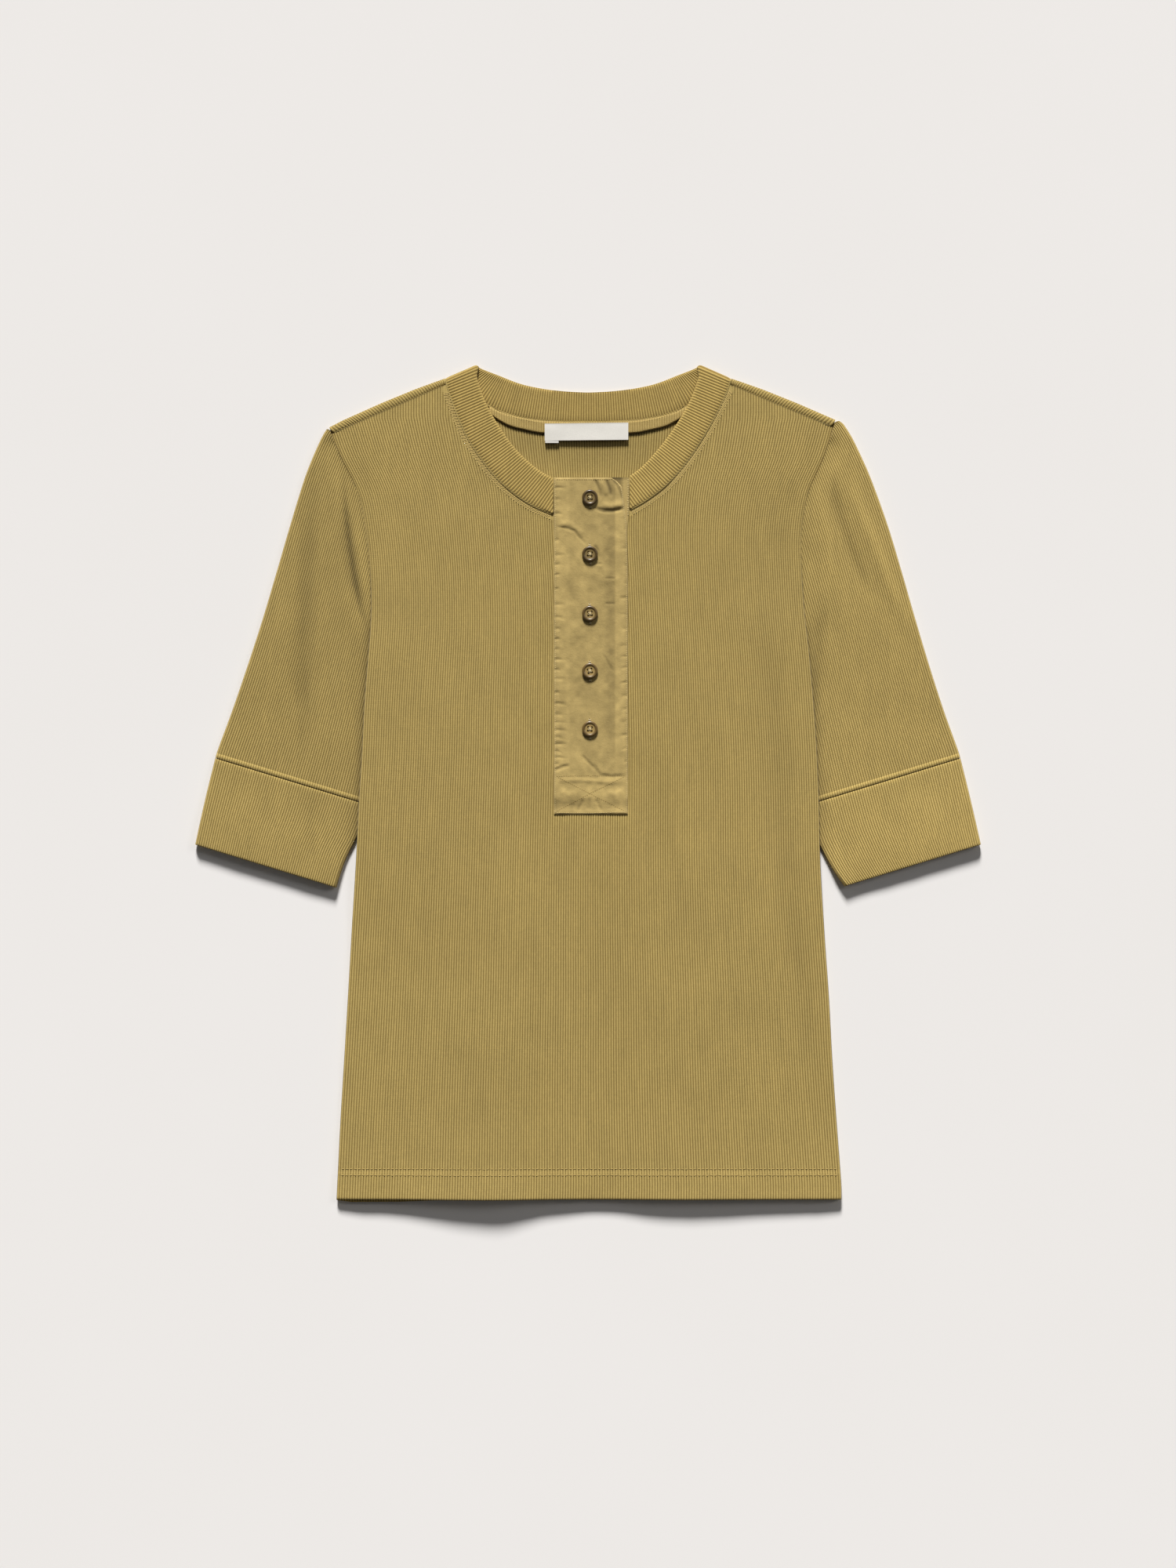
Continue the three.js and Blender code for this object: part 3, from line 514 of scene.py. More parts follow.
def knit(name, crest, valley_shade, roughness=0.93):
    """Rib knit: light rounded ribs of small stitches, painted shade in their thin valleys, uneven garment dye."""
    made, n, surface = shader(name, roughness, 0.12)
    coordinates = n.coordinates()
    place = n.new("ShaderNodeSeparateXYZ")
    n.link(coordinates.outputs["UV"], place.inputs[0])
    across = n.math("MULTIPLY", n.math("PINGPONG", place.outputs[0], 0.5), 2.0)
    lean = n.math("MULTIPLY_ADD", across, 0.55, place.outputs[1])
    stitch = n.math("MULTIPLY", n.math("PINGPONG", lean, 0.5), 2.0)
    mottle = n.noise(coordinates.outputs["Object"], 42, 4.0)
    cloud = n.noise(coordinates.outputs["Object"], 9, 2.0)
    fibre = n.noise(coordinates.outputs["Object"], 1700, 2.0)
    on_rib = n.math("MAXIMUM", n.range(across, 0.0, 0.72, 0.0, 1.0), n.attribute("plain"))
    # The valley colour is painted shade between the ribs.
    colour = n.mix(on_rib, linear(*valley_shade), linear(*crest))
    streak = n.noise(n.stretched(coordinates.outputs["Object"], 330, 34, 330), 1, 3.0)
    grain = n.noise(n.stretched(coordinates.outputs["Object"], 620, 420, 620), 1, 3.0)
    shades = [(mottle, 0.18), (cloud, 0.1), (streak, 0.26), (grain, 0.36), (fibre, 0.5), (stitch, 0.1)]
    n.link(n.shaded(colour, shades), surface.inputs["Base Color"])
    height = n.math("MULTIPLY_ADD", stitch, 0.22, n.math("MULTIPLY", fibre, 0.35))
    n.link(n.bump(height, 0.5, 0.0003), surface.inputs["Normal"])
    return made


def woven(name, colour, roughness=0.85):
    """Washed woven cotton with a faint weave, soft mottling and light worn edges."""
    made, n, surface = shader(name, roughness, 0.15)
    coordinates = n.coordinates()
    where = coordinates.outputs["Object"]
    weave = n.noise(n.stretched(where, 1500, 2600, 1500), 1, 2.0)
    thread = n.noise(n.stretched(where, 2600, 900, 1500), 1, 2.0)
    mottle = n.noise(where, 120, 4.0, 0.65)
    cloud = n.noise(where, 30, 3.0)
    shades = [(mottle, 0.3), (cloud, 0.2), (weave, 0.24)]
    n.link(n.shaded(linear(*colour), shades), surface.inputs["Base Color"])
    height = n.math("ADD", weave, thread)
    soft = n.bump(mottle, 0.35, 0.0009)
    n.link(n.bump(height, 0.45, 0.00025, soft), surface.inputs["Normal"])
    return made


def plain_cloth(name, colour, roughness=0.9, rows=900):
    """Label and thread: fine even rows of yarn."""
    made, n, surface = shader(name, roughness, 0.1)
    where = n.coordinates().outputs["Object"]
    yarn = n.noise(n.stretched(where, rows * 2.2, rows, rows), 1, 2.0)
    mottle = n.noise(where, 90, 3.0)
    n.link(n.shaded(linear(*colour), [(yarn, 0.2), (mottle, 0.14)]), surface.inputs["Base Color"])
    n.link(n.bump(yarn, 0.4, 0.0002), surface.inputs["Normal"])
    return made


def resin(name, colour, middle):
    """Polished resin with a lighter dished middle."""
    made, n, surface = shader(name, 0.42)
    surface.inputs["Specular IOR Level"].default_value = 0.5
    surface.inputs["Coat Weight"].default_value = 0.25
    surface.inputs["Coat Roughness"].default_value = 0.15
    where = n.coordinates().outputs["Object"]
    swirl = n.noise(n.stretched(where, 260, 700, 260), 1, 4.0, 0.6)
    fine = n.noise(where, 2500, 2.0)
    flat = n.new("ShaderNodeVectorMath", operation="LENGTH")
    n.link(n.stretched(where, 1, 1, 0), flat.inputs[0])
    body = n.mix(n.range(flat.outputs["Value"], 0.0030, 0.0041, 0.0, 1.0), linear(*middle), linear(*colour))
    n.link(n.shaded(body, [(swirl, 0.7), (fine, 0.1)]), surface.inputs["Base Color"])
    n.link(n.bump(fine, 0.05, 0.0001), surface.inputs["Normal"])
    return made


KNIT = knit("rib_knit", (182, 159, 96), (130, 108, 55))
BAND_KNIT = knit("band_knit", (184, 159, 93), (126, 102, 50))
TWILL = woven("placket_twill", (176, 153, 96))
TAPE = knit("neck_tape", (180, 156, 96), (150, 126, 72))
CREAM = plain_cloth("neck_label", (226, 223, 215), 0.8, 1400)
RESIN = resin("buttons", (76, 59, 28), (124, 104, 62))
THREAD = plain_cloth("thread_light", (201, 181, 127), 0.85, 2500)
THREAD_PALE = plain_cloth("thread_pale", (196, 178, 134), 0.8, 2500)
THREAD_SAME = plain_cloth("thread_same", (160, 138, 82), 0.85, 2500)
THREAD_BOX = plain_cloth("thread_box", (138, 116, 65), 0.9, 2500)
THREAD_RIDGE = plain_cloth("thread_ridge", (178, 155, 98), 0.9, 2500)
THREAD_SHADE = plain_cloth("thread_shade", (122, 100, 52), 0.9, 2500)
# Dark thread for the top stitching, also used as the painted shade in the buttonhole slits.
THREAD_DARK_AND_SLIT_SHADE = plain_cloth("thread_dark_and_slit_shade", (92, 74, 38), 0.9, 2500)


# Body


def body_x(u, y):
    return mixed(right_edge(y), left_edge(y), u)


def body_u(x, y):
    return (x - right_edge(y)) / (left_edge(y) - right_edge(y))


def back_lift(u, y):
    """How far the back lies off the table: at the wavy hem, and over the sleeves' inner edges."""
    over_sleeve = step(np.minimum(u, 1 - u), 0.25, 0.085) * step(y, -135, -45) * step(y, 165, 92)
    return rise_at(u) * fade_at(y) + SLEEVE_LIFT * over_sleeve


def swell(u):
    return mixed(0.3, 1.1, np.clip(np.minimum(u, 1 - u) / 0.05, 0, 1))


def moved_aside(points, distance):
    points = np.array(points, float)
    last = len(points) - 1
    before, after = np.maximum(np.arange(last + 1) - 1, 0), np.minimum(np.arange(last + 1) + 1, last)
    along = points[after] - points[before]
    along /= np.linalg.norm(along, axis=1)[:, None]
    return points + np.stack([-along[:, 1], along[:, 0]], 1) * distance


def sampled(points, count):
    return through(points, np.linspace(0, 1, count + 1))


def top_line(points):
    points = np.array(points, float)
    points = points[np.argsort(points[:, 0])]
    return lambda x: np.interp(x, points[:, 0], points[:, 1])


NECK_RIGHT = sampled(BAND_RIGHT[:, 2:], 60)
NECK_LEFT = sampled(BAND_LEFT[:, 2:], 60)


def front_top():
    right = moved_aside(NECK_RIGHT, SEAM * 1.4)
    left = moved_aside(NECK_LEFT, -SEAM * 1.4)
    return top_line(
        [
            *SEAM_LINE["right"],
            *right[right[:, 1] < SEAM_LINE["right"][1][1]],
            *left[left[:, 1] < SEAM_LINE["left"][1][1]],
            *SEAM_LINE["left"],
        ]
    )


def back_top():
    half = moved_aside(sampled([BAND_TURN_END, *BAND_BACK[:, 2:]], 60), SEAM * 1.9)
    return top_line([*FOLD_LINE["right"], *(half * [-1, 1]), *half, *FOLD_LINE["left"]])


def meeting(u, top):
    """Height at which the columns u meet a top line."""
    low = np.full(len(u), float(UNDERARM))
    for _ in range(100):
        low = np.where(low + 2 < top(body_x(u, low + 2)), low + 2, low)
    high = low + 2
    for _ in range(30):
        middle = (low + high) / 2
        below = middle < top(body_x(u, middle))
        low, high = np.where(below, middle, low), np.where(below, high, middle)
    return low


def body_grid(u, top, hem, lower, upper, offsets):
    """Heights of each column's rows: level below the underarm, then spread up to the top line."""
    end = meeting(u, top)
    first = np.broadcast_to(hem, u.shape)
    level = [np.full(len(u), y) for y in lower]
    shares = [mixed(UNDERARM, end - offsets[0], s) for s in upper]
    last = [end - off for off in offsets]
    return np.array([first, *level, *shares, *last])


def spot(px, py):
    """A place in the photograph's plan, in millimetres."""
    return (px - 750) * 0.572, (999 - py) * 0.572


def drawn(rows):
    """A table of folds, each line brought from the photograph into plan."""
    return [(*row[:3], [spot(*p) for p in row[3]]) for row in rows]


def folds(x, y, rows, column, tail=0.3):
    """Sum of the folds of a table: of their heights or of the light and shade painted on them."""
    return sum(fold(x, y, row[3], row[0], row[column], tail) for row in rows)


# Soft folds of the front: width, height and painted shade of each (darker in troughs, lighter on ridges), and its line
FRONT_FOLDS = drawn([
    (9, -1.1, -0.09, [(966, 700), (978, 820), (991, 940), (1004, 1140), (1019, 1240), (1034, 1340), (1049, 1500)]),
    (14, 0.8, 0.03, [(905, 840), (935, 1000), (965, 1150), (975, 1320)]),
    (11, 0.5, 0.03, [(850, 880), (868, 1000), (888, 1180)]),
    (8, -0.5, -0.04, [(836, 950), (846, 1050), (866, 1160), (880, 1260)]),
    (16, -0.6, -0.035, [(762, 1040), (768, 1150), (786, 1290), (788, 1400), (775, 1500)]),
    (14, 0.6, 0.03, [(652, 1040), (662, 1140), (668, 1240)]),
    (8, -0.45, -0.03, [(1008, 600), (996, 700), (992, 790)]),
    (13, -0.5, -0.03, [(590, 1320), (600, 1400), (590, 1480)]),
    (10, 0.5, 0.03, [(500, 640), (505, 720), (500, 790)]),
])


def front_relief(x, y):
    """Soft folds and unevenness of the front, added to both of its skins."""
    z = 0.3 * noise(x, y, 60, 150, 1) + 0.2 * noise(x, y, 22, 60, 2) + 0.08 * noise(x, y, 9, 22, 3)
    return z + folds(x, y, FRONT_FOLDS, HEIGHT)


def neck_ridge(x, y):
    """Raised coverstitched seam allowance beside the neckband."""
    off = np.minimum(to_line(x, y, NECK_RIGHT)[0], to_line(x, y, NECK_LEFT)[0])
    return 0.16 * step(off, 6.2, 4.0), off


def front_level(u, y, x=None):
    """Height of the front's outside, without its ribs."""
    x = body_x(u, y) if x is None else x
    hem = HEM["fold"] * step(y, HEM_STEP + 0.6, HEM_STEP - 0.4)
    width = left_edge(y) - right_edge(y)
    side = np.minimum(u, 1 - u) * width
    curl, bottom = 0.9 * rounded(side, 2.5), 0.5 * rounded(y - HEM["front"], 1.6)
    return back_lift(u, y) + 2 * CLOTH + swell(u) + hem - curl - bottom + front_relief(x, y)


def front_body():
    cloth = Cloth()
    columns = 4 * BODY_RIBS
    u = np.arange(columns + 1) / columns
    lower = [-303.2, -302.4, -301, -297, -293, -289, -286, -284.6, -283.9, -283.2, -281.5, -278.5]
    lower += list(np.linspace(-273, UNDERARM, 60))
    offsets = [14, 12, 10, 8.5, 7.2, 6, 5, 4.2, 3.4, 2.6, 1.8, 1.0, 0.4, 0]
    y = body_grid(u, front_top(), HEM["front"], lower, np.linspace(0, 1, 19)[1:-1], offsets)
    x = body_x(u, y)
    u2 = np.broadcast_to(u, y.shape)
    ridge, off = neck_ridge(x, y)
    bare = (x > PLACKET["right"] - 1) & (x < PLACKET["under_left"] + 1) & (y > PLACKET["bottom"] - 1)
    on_ridge = step(off, 5.0, 4.2)
    rib = PROFILE[np.arange(columns + 1) % 4] * RIB * np.where(bare, 0, 1) * (1 - 0.75 * on_ridge)
    level = front_level(u2, y)
    z = level + rib + np.where(bare, 0, ridge)
    z = np.where(bare, np.minimum(z, PLACKET_UNDER[0] - 0.2), z)
    # Painted light and shade: the folds' shade, and the wavy hem lighter where it tilts away from the key light and
    # darker where it tilts towards it.
    slope = (back_lift(u2, y + 2) - back_lift(u2, y - 2)) / 4
    tone = folds(x, y, FRONT_FOLDS, PAINTED_SHADING) + 0.75 * (1 / (1 - 2.05 * slope) - 1)
    tone = tone + 0.03 * (y < HEM_STEP) - 0.1 * bell(y - HEM_STEP, 0.7)
    # Painted shade in a thin line at the outer foot of the coverstitched ridge; the ridge itself lighter.
    tone = tone - 0.04 * bell(off - 5.6, 0.8) + 0.05 * on_ridge
    # Painted shade along the armhole seam above the underarm.
    side = np.minimum(u2, 1 - u2) * (left_edge(y) - right_edge(y))
    tone = tone - 0.16 * bell(side, 1.0) * step(y, 112, 126)
    # Painted shade along the shoulder seam, under the roll of the back.
    shoulder = np.minimum(to_line(x, y, SEAM_LINE["right"])[0], to_line(x, y, SEAM_LINE["left"])[0])
    tone = tone - 0.3 * bell(shoulder, 0.7)
    outer = cloth.add(x, y, z, tone, 0.85 * on_ridge)
    rows = np.broadcast_to((y - HEM["front"]) / STITCH, y.shape)
    cloth.skin(outer, pairs(u2 * BODY_RIBS, rows))
    pick_c = np.arange(0, columns + 1, 4)
    pick_r = np.unique(np.concatenate([[0], np.arange(2, len(y), 3), [len(y) - 1]]))
    inside = (level - CLOTH)[np.ix_(pick_r, pick_c)]
    inner = cloth.add(x[np.ix_(pick_r, pick_c)], y[np.ix_(pick_r, pick_c)], inside)
    place = pairs(u2 * BODY_RIBS, rows)[np.ix_(pick_r, pick_c)]
    cloth.skin(inner, place, turned=True)
    row_at, column_at = np.arange(len(y)), np.arange(columns + 1)
    edge = (0.5, 0)
    cloth.rim(outer[0], inner[0], column_at, pick_c, edge)
    cloth.rim(outer[:, -1], inner[:, -1], row_at, pick_r, edge)
    cloth.rim(outer[-1, ::-1], inner[-1, ::-1], -column_at[::-1], -pick_c[::-1], edge)
    cloth.rim(outer[::-1, 0], inner[::-1, 0], -row_at[::-1], -pick_r[::-1], edge)
    piece = cloth.made("front_cloth", KNIT)
    return placed(piece, "rib_knit", "front_body")


def back_body():
    cloth = Cloth()
    columns = 4 * BODY_RIBS
    u = np.arange(columns + 1) / columns
    top = back_top()
    corner = {side: body_u(*line[-1]) for side, line in FOLD_LINE.items()}
    lower = [*np.linspace(-302, -284, 3), *np.linspace(-270, UNDERARM, 16)]
    offsets = [42, 36, 30, 24, 20, 17, 15, 13.5, 12.5, 11.7, 11, 10.3, 9.6, 9, 8.4, 7.6, 6.5, 5, 3, 1.5, 0]
    y = body_grid(u, top, hem_at(u), lower, np.linspace(0, 1, 6)[1:-1], offsets)
    x = body_x(u, y)
    u2 = np.broadcast_to(u, y.shape)
    rib = PROFILE[np.arange(columns + 1) % 4]
    lift = back_lift(u2, y)
    in_neck = bell(x, 90) * step(y, 215, 250)
    relief = 0.25 * noise(x, y, 30, 40, 11) * in_neck
    under = cloth.add(x, y, lift + 0.3 * (1 - rib))
    bottom, _ = tape_edges(np.clip(x, -TAPE_HALF, TAPE_HALF))
    shade = -0.62 * bell(y - bottom + 0.3, 1.1) * (np.abs(x) < TAPE_HALF + 2) - 0.19 * in_neck
    over = cloth.add(x, y, lift + CLOTH - 0.05 + 0.26 * (rib - 0.6) + relief, shade)
    place = pairs(u2 * BODY_RIBS, (y - HEM["front"]) / STITCH)
    faces = [faces_of(over, place)]
    unders, overs = [under.reshape(-1)], [over.reshape(-1)]
    ends = {"right": u <= corner["right"], "left": u >= corner["left"]}
    for side, chosen in ends.items():
        rows = shoulder_wrap(cloth, side, x[-1, chosen], y[-1, chosen], rib[chosen])
        grid_over = np.vstack([over[-1:, chosen], rows["over"]])
        grid_place = pairs(u[chosen] * BODY_RIBS, (y[-1, chosen] - HEM["front"] + rows["along"]) / STITCH)
        faces.append(faces_of(grid_over, grid_place))
        unders.append(rows["under"].reshape(-1))
        overs.append(rows["over"].reshape(-1))
    quads, places = (np.concatenate(part) for part in zip(*faces))
    cloth.doubled(quads, places, np.concatenate(unders), np.concatenate(overs))
    piece = cloth.made("back_cloth", KNIT)
    return placed(piece, "rib_knit", "back_body")


def shoulder_wrap(cloth, side, x, y, rib):
    """Rows from the shoulder fold forward to the seam, round a small roll."""
    start, end = np.array(FOLD_LINE[side][0], float), np.array(FOLD_LINE[side][-1], float)
    along = (end - start) / np.linalg.norm(end - start)
    out = np.array([-along[1], along[0]]) * (1 if side == "right" else -1)
    share = np.clip(((x - start[0]) * along[0] + (y - start[1]) * along[1]) / np.linalg.norm(end - start), 0, 1)
    seam = np.array(SEAM_LINE[side], float)
    slant = 0.41 * step(share, 0, 0.12) * step(share, 1, 0.88)
    reach = share + slant * (WRAP_RADIUS * np.pi + 3) / np.linalg.norm(end - start)
    front = seam[0] + (seam[1] - seam[0]) * reach[:, None] + out * SEAM * 1.2
    steps = np.linspace(0, np.pi, 9)[1:]
    groove = 0.3 * (1 - rib)
    unders, overs, gone = [], [], [np.zeros(len(x))]
    for angle in steps:
        for rows, r in ((unders, WRAP_RADIUS - groove), (overs, WRAP_RADIUS - CLOTH + 0 * groove)):
            aside = slant * WRAP_RADIUS * angle
            px = x + out[0] * r * np.sin(angle) + along[0] * aside
            py = y + out[1] * r * np.sin(angle) + along[1] * aside
            rows.append((px, py, WRAP_RADIUS - r * np.cos(angle)))
        gone.append(np.full(len(x), WRAP_RADIUS * angle))
    bx, by, _ = unders[-1]
    for share_down in (0.25, 0.5, 0.75, 1):
        px, py = mixed(bx, front[:, 0], share_down), mixed(by, front[:, 1], share_down)
        roll = 0.45 * step(share_down, 0.6, 1)
        unders.append((px, py, 2 * WRAP_RADIUS - groove - roll))
        overs.append((px, py, 2 * WRAP_RADIUS - CLOTH + 0 * px - roll))
        gone.append(WRAP_RADIUS * np.pi + share_down * np.hypot(front[:, 0] - bx, front[:, 1] - by))
    grid = lambda rows: [np.array([row[k] for row in rows]) for k in range(3)]
    return {"under": cloth.add(*grid(unders)), "over": cloth.add(*grid(overs)), "along": np.array(gone)}


# Sleeves and cuffs: a runs down the sleeve and b across it, from its outer edge

SIN, COS = np.sin(np.radians(SLEEVE["pitch"])), np.cos(np.radians(SLEEVE["pitch"]))


def to_plan(a, b):
    return SLEEVE["x"] - SIN * a + COS * b, SLEEVE["y"] - COS * a - SIN * b


def to_sleeve(x, y):
    dx, dy = x - SLEEVE["x"], y - SLEEVE["y"]
    return -SIN * dx - COS * dy, COS * dx - SIN * dy


# Soft folds of the sleeves, as for the front
SLEEVE_FOLDS = {
    "right": [
        (1.9, -1.4, -0.4, [(434, 596), (438, 620), (441, 656), (446, 697), (452, 739), (460, 780), (473, 818)]),
        (5, -0.9, -0.2, [(434, 640), (438, 670), (443, 705), (449, 745), (457, 785)]),
        (3.2, 0.9, 0.09, [(452, 640), (458, 697), (465, 745), (472, 790)]),
        (5.5, 0.9, 0.04, [(426, 610), (432, 660), (437, 720), (443, 780), (452, 840)]),
        (7, -1.3, -0.19, [(398, 590), (394, 690), (388, 790), (386, 890), (389, 1010)]),
        (8, 0.7, 0.03, [(372, 720), (360, 820), (350, 940)]),
        (6, -0.5, -0.05, [(392, 1000), (394, 1060), (392, 1120)]),
    ],
    "left": [
        (4.5, -1.2, -0.16, [(1058, 589), (1064, 624), (1071, 663), (1082, 697), (1097, 735), (1115, 775)]),
        (5, 1.0, 0.1, [(1071, 589), (1085, 624), (1101, 663), (1117, 702), (1132, 741), (1148, 780), (1166, 823)]),
        (3.5, 0.8, 0.07, [(1038, 616), (1048, 644), (1056, 694), (1062, 735), (1066, 790)]),
        (5, -0.5, -0.07, [(1030, 650), (1030, 694), (1034, 733)]),
        (5, -0.9, -0.14, [(1052, 740), (1048, 800), (1043, 880), (1042, 940)]),
        (9, -0.4, -0.03, [(1110, 800), (1120, 880), (1125, 960)]),
        (12, 0.4, 0.04, [(1165, 1000), (1180, 1060), (1190, 1100)]),
    ],
}


class Sleeve:
    """The flattened tube of one sleeve, worked out as the wearer's right one."""

    def __init__(self, side):
        self.side = side
        self.outer = smooth(SLEEVE_OUTER, "a", side)
        self.inner = smooth(SLEEVE_INNER, "a", side)
        self.edge_x = OWN_EDGE[side]
        ys = [FOLD_LINE[side][0][1] + SEAM, *np.linspace(SEAM_LINE[side][0][1], UNDERARM, 26), 104]
        armhole = moved_aside([[self.edge_x(y), y] for y in ys], -SEAM * 0.6)
        line = np.array([*np.stack(to_sleeve(armhole[:, 0], armhole[:, 1])[::-1], 1), *SLEEVE_HIDDEN])
        self.top = lambda b: np.interp(b, line[:, 0], line[:, 1])
        self.folds = [(*row[:3], [(SIGN[side] * x, y) for x, y in row[3]]) for row in drawn(SLEEVE_FOLDS[side])]

    def width(self, a, inset=0):
        return self.inner(a) - self.outer(a) - 2 * inset

    def start(self, w, inset):
        a = np.zeros(np.shape(w))
        for _ in range(40):
            a = mixed(a, self.top(self.outer(a) + inset + w * self.width(a, inset)), 0.6)
        return a

    def relief(self, a, b):
        """Soft folds of the upper cloth."""
        s = 1 if self.side == "right" else 2
        z = 0.4 * noise(b, a, 26, 90, 20 + s) + 0.2 * noise(b, a, 11, 34, 30 + s)
        x, y = to_plan(a, b)
        return z + folds(x, y, self.folds, HEIGHT, 0.35)

    def shade(self, x, y):
        off = self.edge_x(y) - x
        beside = -0.16 * bell(off, 1.2) - 0.26 * bell(off, 5.5) * step(y, 135, 105)
        return folds(x, y, self.folds, PAINTED_SHADING, 0.35) + beside

    def height(self, a, b):
        """Height of the upper cloth's outside over the table, without ribs."""
        x, y = to_plan(a, b)
        clear = step(self.edge_x(y) - x, 4, 16)
        free = mixed(TOP["free"], TOP["mouth"], step(a, SLEEVE["seam"] + 8, SLEEVE["end"]))
        pressed = TOP["pressed"] + 0.95 * step(y, 246, 255)
        return mixed(pressed, free, clear) + step(self.edge_x(y) - x, 1, 6) * self.relief(a, b)

    def ring(self, rows_of, over, under, inset, rise):
        """One skin of the tube: x, y, z, and the rib at each column, all round it."""
        w = np.concatenate([over, under])
        layer = np.concatenate([np.ones(len(over)), -np.ones(len(under))])
        turn = np.concatenate([over, 2 - np.asarray(under)])
        a = rows_of(w, inset)
        b = self.outer(a) + inset + w * self.width(a, inset)
        height = self.height(a, b) - inset
        round_off = 1 - rounded(np.minimum(w, 1 - w) * self.width(a, inset), 2.4)
        z = (height + inset) / 2 + layer * round_off * ((height - inset) / 2) + rise(a, turn, round_off, layer)
        x, y = to_plan(a, b)
        return x, y, z, turn, a

    def tube(self, name, rows_of, rise, tone):
        fine = np.linspace(0, 1, 4 * SLEEVE_RIBS + 1)
        wide = np.array([0.02, 0.08, 0.15, 0.22, 0.3, 0.4, 0.5, 0.6, 0.7, 0.78, 0.85, 0.92, 0.98])
        cloth = Cloth()

        def skin(over, under, inset, rises, tones, turned):
            x, y, z, turn, a = self.ring(rows_of, over, under, inset, rises)
            tone = tones(a) + (turn <= 1) * np.maximum(self.shade(x, y), -0.5) if tones else 0.0
            numbers = cloth.add(x, y, z, tone)
            numbers = np.hstack([numbers, numbers[:, :1]])
            ribs = np.append(turn, 2) * SLEEVE_RIBS
            place = pairs(ribs, np.hstack([a, a[:, :1]]) / STITCH)
            cloth.skin(numbers, place, turned)
            return numbers, np.append(turn, 2)

        outer, at_outer = skin(fine, fine[::-1][1:-1], 0, rise, tone, True)
        none = lambda *_: 0
        inner, at_inner = skin(np.array([0, *wide, 1]), wide[::-1], CLOTH, none, None, False)
        edge = (0.5, 0)
        cloth.rim(outer[0, ::-1], inner[0, ::-1], -at_outer[::-1], -at_inner[::-1], edge)
        cloth.rim(outer[-1], inner[-1], at_outer, at_inner, edge)
        if self.side == "left":
            cloth.mirrored()
        return cloth.made(name, KNIT)


def rib_rise(turn, round_off, layer):
    """Ribs stand on the upper side and are cut as grooves into the side on the table."""
    rib = PROFILE[np.round(turn * 4 * SLEEVE_RIBS).astype(int) % 4]
    return np.where(layer > 0, round_off * RIB * rib, round_off * 0.3 * (1 - rib))


def seam_roll(a):
    """Smooth rolled edge of the sleeve just above the cuff."""
    return 0.75 * np.sqrt(np.clip(1 - ((a - 250.0) / 1.75) ** 2, 0, 1))


def sleeve(side):
    shape = Sleeve(side)
    level = 165
    lower = [*range(171, 235, 7), 240, 244, 246.5, 247.7, 248.2, 248.4, 248.7, 249.2, 250, 250.8, 251.3, 251.6, 251.75]

    def rows_of(w, inset):
        start = shape.start(w, inset)
        shares = np.concatenate([[0, 0.01, 0.02], np.linspace(0.045, 1, 27)])
        return np.array([*[mixed(start, level, s) for s in shares], *[np.full(len(w), float(a)) for a in lower]])

    def rise(a, turn, round_off, layer):
        rolled = seam_roll(a)
        ribs = rib_rise(turn, round_off, layer) * (1 - 0.9 * step(rolled, 0.05, 0.5))
        return ribs + rolled * (layer > 0) * round_off

    # Painted light and shade: the wearer's left sleeve lighter and the right one darker, as the side light falls; a
    # painted highlight on the rolled edge above the cuff seam, with a thin painted shade line just above it.
    painted_side_light = {"right": -0.06, "left": 0.045}[side]
    tone = lambda a: painted_side_light + 0.07 * step(a, 248, 248.6) - 0.07 * bell(a - 247.8, 0.7)
    piece = shape.tube(f"sleeve_{side}_cloth", rows_of, rise, tone)
    return placed(piece, "rib_knit", f"sleeve_{side}")


def cuff(side):
    shape = Sleeve(side)
    rows = [252, 252.6, 253.6, 256, 260, 265, 270, 276, 282, 288, 294, 300, 305, 309, 312, 314.4, 315.6, 316.2, 316.5]

    def rows_of(w, inset):
        return np.array([np.full(len(w), float(a)) for a in rows])

    def rise(a, turn, round_off, layer):
        ends = 0.5 * rounded(SLEEVE["end"] - a, 1.4) + 0.5 * rounded(a - SLEEVE["seam"], 1.8)
        return rib_rise(turn, round_off, layer) + (0.35 - ends) * (layer > 0) * round_off

    # Painted light: the wearer's left cuff lighter and the right one darker, as the side light falls.
    painted_side_light = {"right": -0.03, "left": 0.12}[side]
    piece = shape.tube(f"cuff_{side}_cloth", rows_of, rise, lambda a: painted_side_light)
    return placed(piece, "rib_knit", f"cuff_{side}")


# Neckband


def outward(sign):
    (ix, iy), (ox, oy) = BAND_FOLD["inner"], BAND_FOLD["outer"]
    length = np.hypot(ox - ix, iy - oy)
    return np.array([sign * (iy - oy) / length, (ox - ix) / length])


# How steeply the band's ribs stand, by their distance from the middle of the neck
LEAN = table("x front", [[26, 57], [31, 54], [40, 50], [50, 44.5], [60, 38.5], [68, 33], [75, 30], [81, 25], [95, 20]])
LEAN_BACK = table("x back", [[0, 90], [29, 84.5], [46, 78], [62, 70], [70, 58], [78, 40]])


def crossing(path, middle, ahead, sign):
    """Where a line through a place on the band's middle meets one of its edges."""
    from_middle = path - middle
    off = from_middle[:, 0] * ahead[1] - from_middle[:, 1] * ahead[0]
    along = from_middle @ ahead * sign
    near = np.where((off[:-1] * off[1:] <= 0) & (along[:-1] > -0.5), np.abs(along[:-1]), 1e9)
    i = near.argmin()
    if near[i] > 1e8:
        return path[np.abs(off).argmin()]
    return mixed(path[i], path[i + 1], off[i] / (off[i] - off[i + 1] + 1e-9))


def rows_on(inner, outer, middles, leans):
    rows = []
    for middle, lean in zip(middles, np.radians(leans)):
        ahead = np.array([-np.cos(lean), np.sin(lean)])
        rows.append([*crossing(inner, middle, ahead, 1), *crossing(outer, middle, ahead, -1)])
    return np.array(rows)


